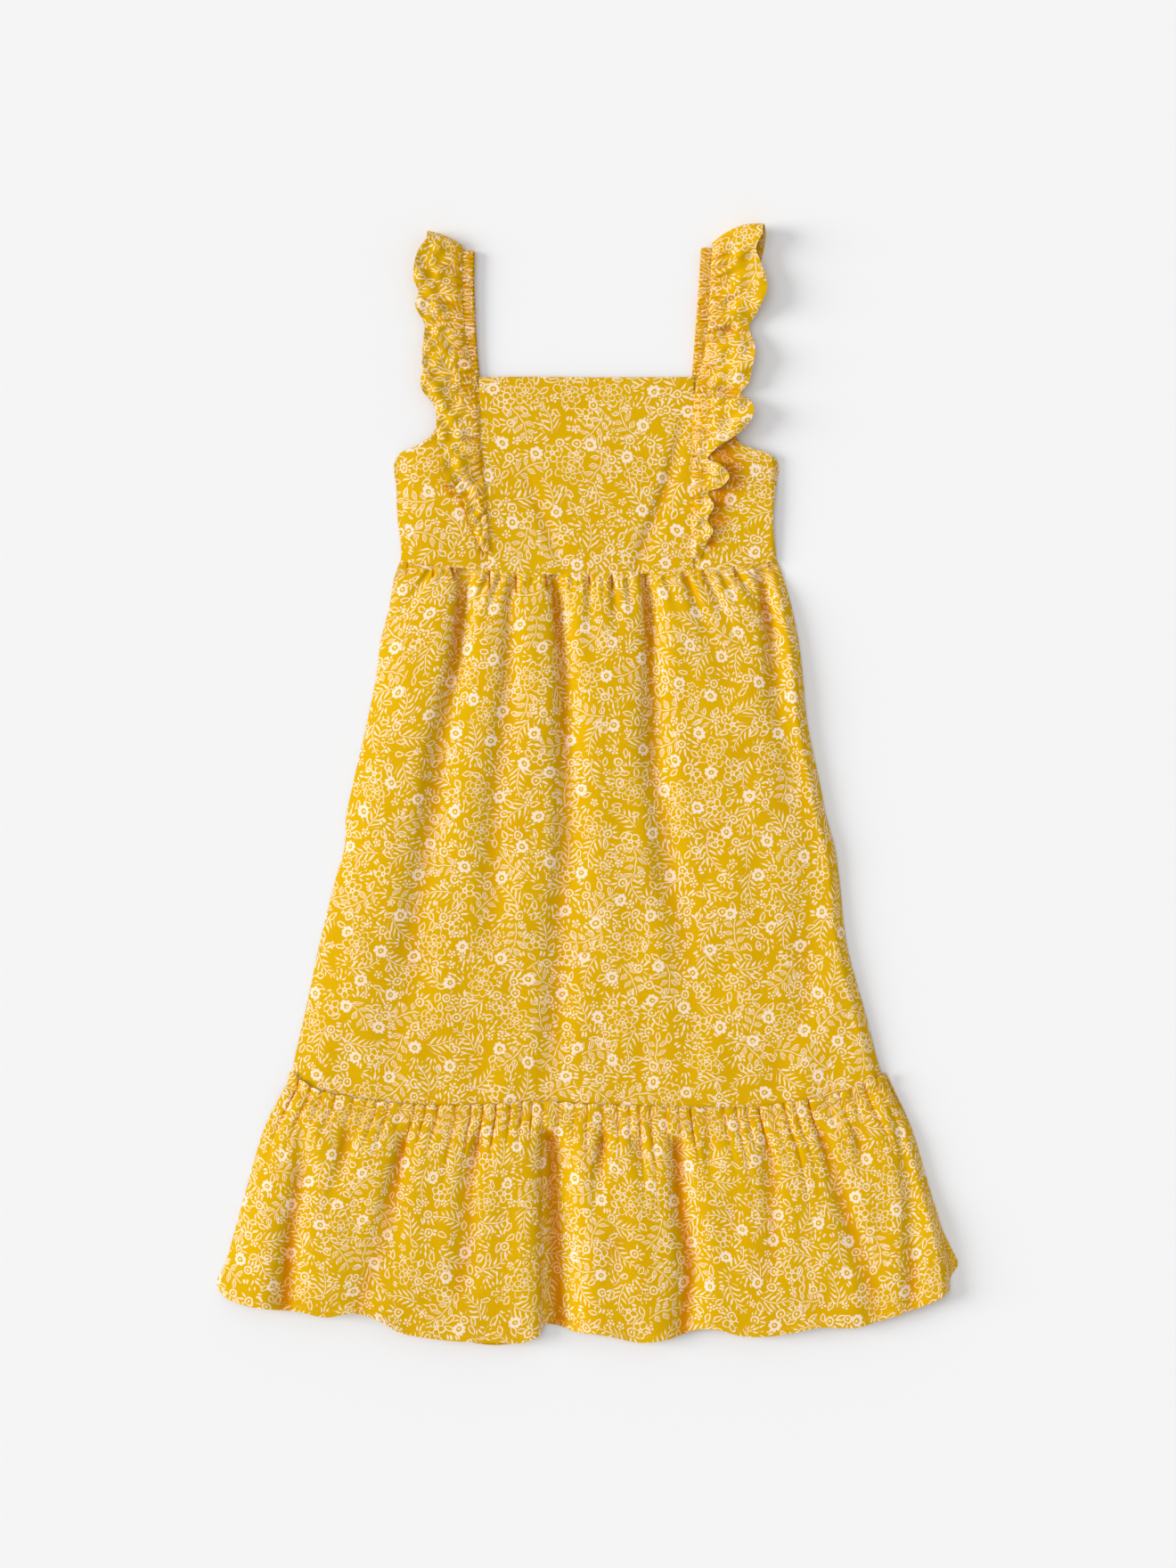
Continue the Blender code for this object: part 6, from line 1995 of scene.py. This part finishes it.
def cotton(name, shows=1.0, crease_depth=LAID_CREASES):
    """Printed cotton; shows is how strongly the print shows, 1 on the right side of the cloth."""

    def build(tree):
        where = scaled(put_node(tree, "UVMap", {}, uv_map="cloth"), 1 / MM)
        painted_shade = put_node(tree, "Attribute", {}, "Fac", attribute_name="painted_shade")
        lines, blossoms = use_group(FLOWER_PRINT, where)
        crease_height, shade = use_group(CREASES, where)
        weave_height = use_group(WEAVE, where, WEAVE_PITCH)
        colour = mix(lines * shows, mix(shade, GROUND_DEEP, GROUND), LINE_COLOR)
        colour = mix(blossoms * shows, colour, BLOSSOM_COLOR)
        # Painted shade: folds, creases and the places under the ruffles are darkened and warmed, and pinches
        # darker still.
        colour = mix(painted_shade, colour, PAINTED_FOLD_SHADE, "MULTIPLY")
        colour = mix(painted_shade - 1.0, colour, PAINTED_PINCH_SHADE, "MULTIPLY")
        creased = bump(crease_height, crease_depth, CREASE_STRENGTH)
        woven = bump(weave_height, WEAVE_DEPTH, WEAVE_STRENGTH, Normal=creased)
        roughness = weave_height * SMOOTHER + ROUGH
        return {"Base Color": colour, "Roughness": roughness, "Normal": woven, **SOFT_SHEEN}

    return principled(name, build)


right_side = cotton("printed cotton")
wrong_side = cotton("printed cotton, wrong side", shows=WRONG_SIDE_SHOWS)
strap_side = cotton("printed cotton on elastic", crease_depth=STRAP_CREASES)
print("cottons:", [material.name for material in (right_side, wrong_side, strap_side)])

# %% [markdown]
# ## Thread
# Sewing thread is twisted from plies, which makes it light and dark in short turns; noise of about a
# millimetre is enough for that. Then each sheet gets its printed face and its inner face, in that order.

# %% Thread, and the pieces' materials
THREAD_DARK, THREAD_PALE = (0.80, 0.49, 0.03, 1.0), (0.92, 0.62, 0.10, 1.0)
THREAD_PLY, PLY_DEPTH, PLY_STRENGTH = 0.9 * MM, 0.1 * MM, 0.5
THREAD_ROUGH, THREAD_ROUGHER = 0.55, 0.2


def twisted_thread(tree):
    ply = noise(put_node(tree, "TexCoord", {}, "Object"), THREAD_PLY)
    colour, normal = mix(ply, THREAD_DARK, THREAD_PALE), bump(ply, PLY_DEPTH, PLY_STRENGTH)
    return {"Base Color": colour, "Roughness": ply * THREAD_ROUGHER + THREAD_ROUGH, "Normal": normal}


thread = principled("mustard thread", twisted_thread)
for name in flat_areas:
    finishes = (strap_side,) if name.startswith("strap") else (right_side, wrong_side)
    for slot, finish in zip(bpy.data.objects[name].material_slots, finishes):
        slot.material = finish
for piece in (flounce_stitches, left_stitches, right_stitches):
    piece.data.materials.append(thread)
print("materials:", [material.name for material in (right_side, wrong_side, strap_side, thread)])

# %% [markdown]
# ## What stands for what
# Each sheet takes the place of one wall of the imported model, which stays behind, hidden. The sheets and
# their stitches hang from one empty, named body:root.

# %% The sheets in place of the walls
# piece, node, what it lies on, pieces stitched on it
SHEETS = (
    (bodice_center, "bodice_front_center", [bodice_back.name], []),
    (bodice_left, "bodice_front_side_left", [bodice_back.name], [left_stitches]),
    (bodice_right, "bodice_front_side_right", [bodice_back.name], [right_stitches]),
    (bodice_back, "bodice_back", [], []),
    (skirt_front, "skirt_front", [skirt_back.name], []),
    (skirt_back, "skirt_back", [], []),
    (flounce_front, "flounce_front", [flounce_back.name], [flounce_stitches]),
    (flounce_back, "flounce_back", [], []),
    (strap_left, "strap_left", [], []),
    (strap_right, "strap_right", [], []),
    (ruffle_left, "ruffle_left", [bodice_left.name], []),
    (ruffle_right, "ruffle_right", [bodice_right.name], []),
)
for piece, node, below, stitched in SHEETS:
    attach(piece, "root")
    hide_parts(node)
    for thread_piece in stitched:
        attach(thread_piece, "root")
    places = np.empty(len(piece.data.uv_layers["cloth"].data) * 2)
    piece.data.uv_layers["cloth"].data.foreach_get("uv", places)
    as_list(below)
    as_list(stitched)

# %% [markdown]
# ## Size
# The cloth may stand a few millimetres proud of the imported model, and no more. Both boxes are measured,
# and how far each side has grown is printed.

# %% Size
visual_box = [[float(v) for v in corner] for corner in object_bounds()]
growth = [[round((b - a) / MM, 1) for a, b in zip(*pair)] for pair in zip(cad_box, visual_box)]
print("grown by in mm:", growth)
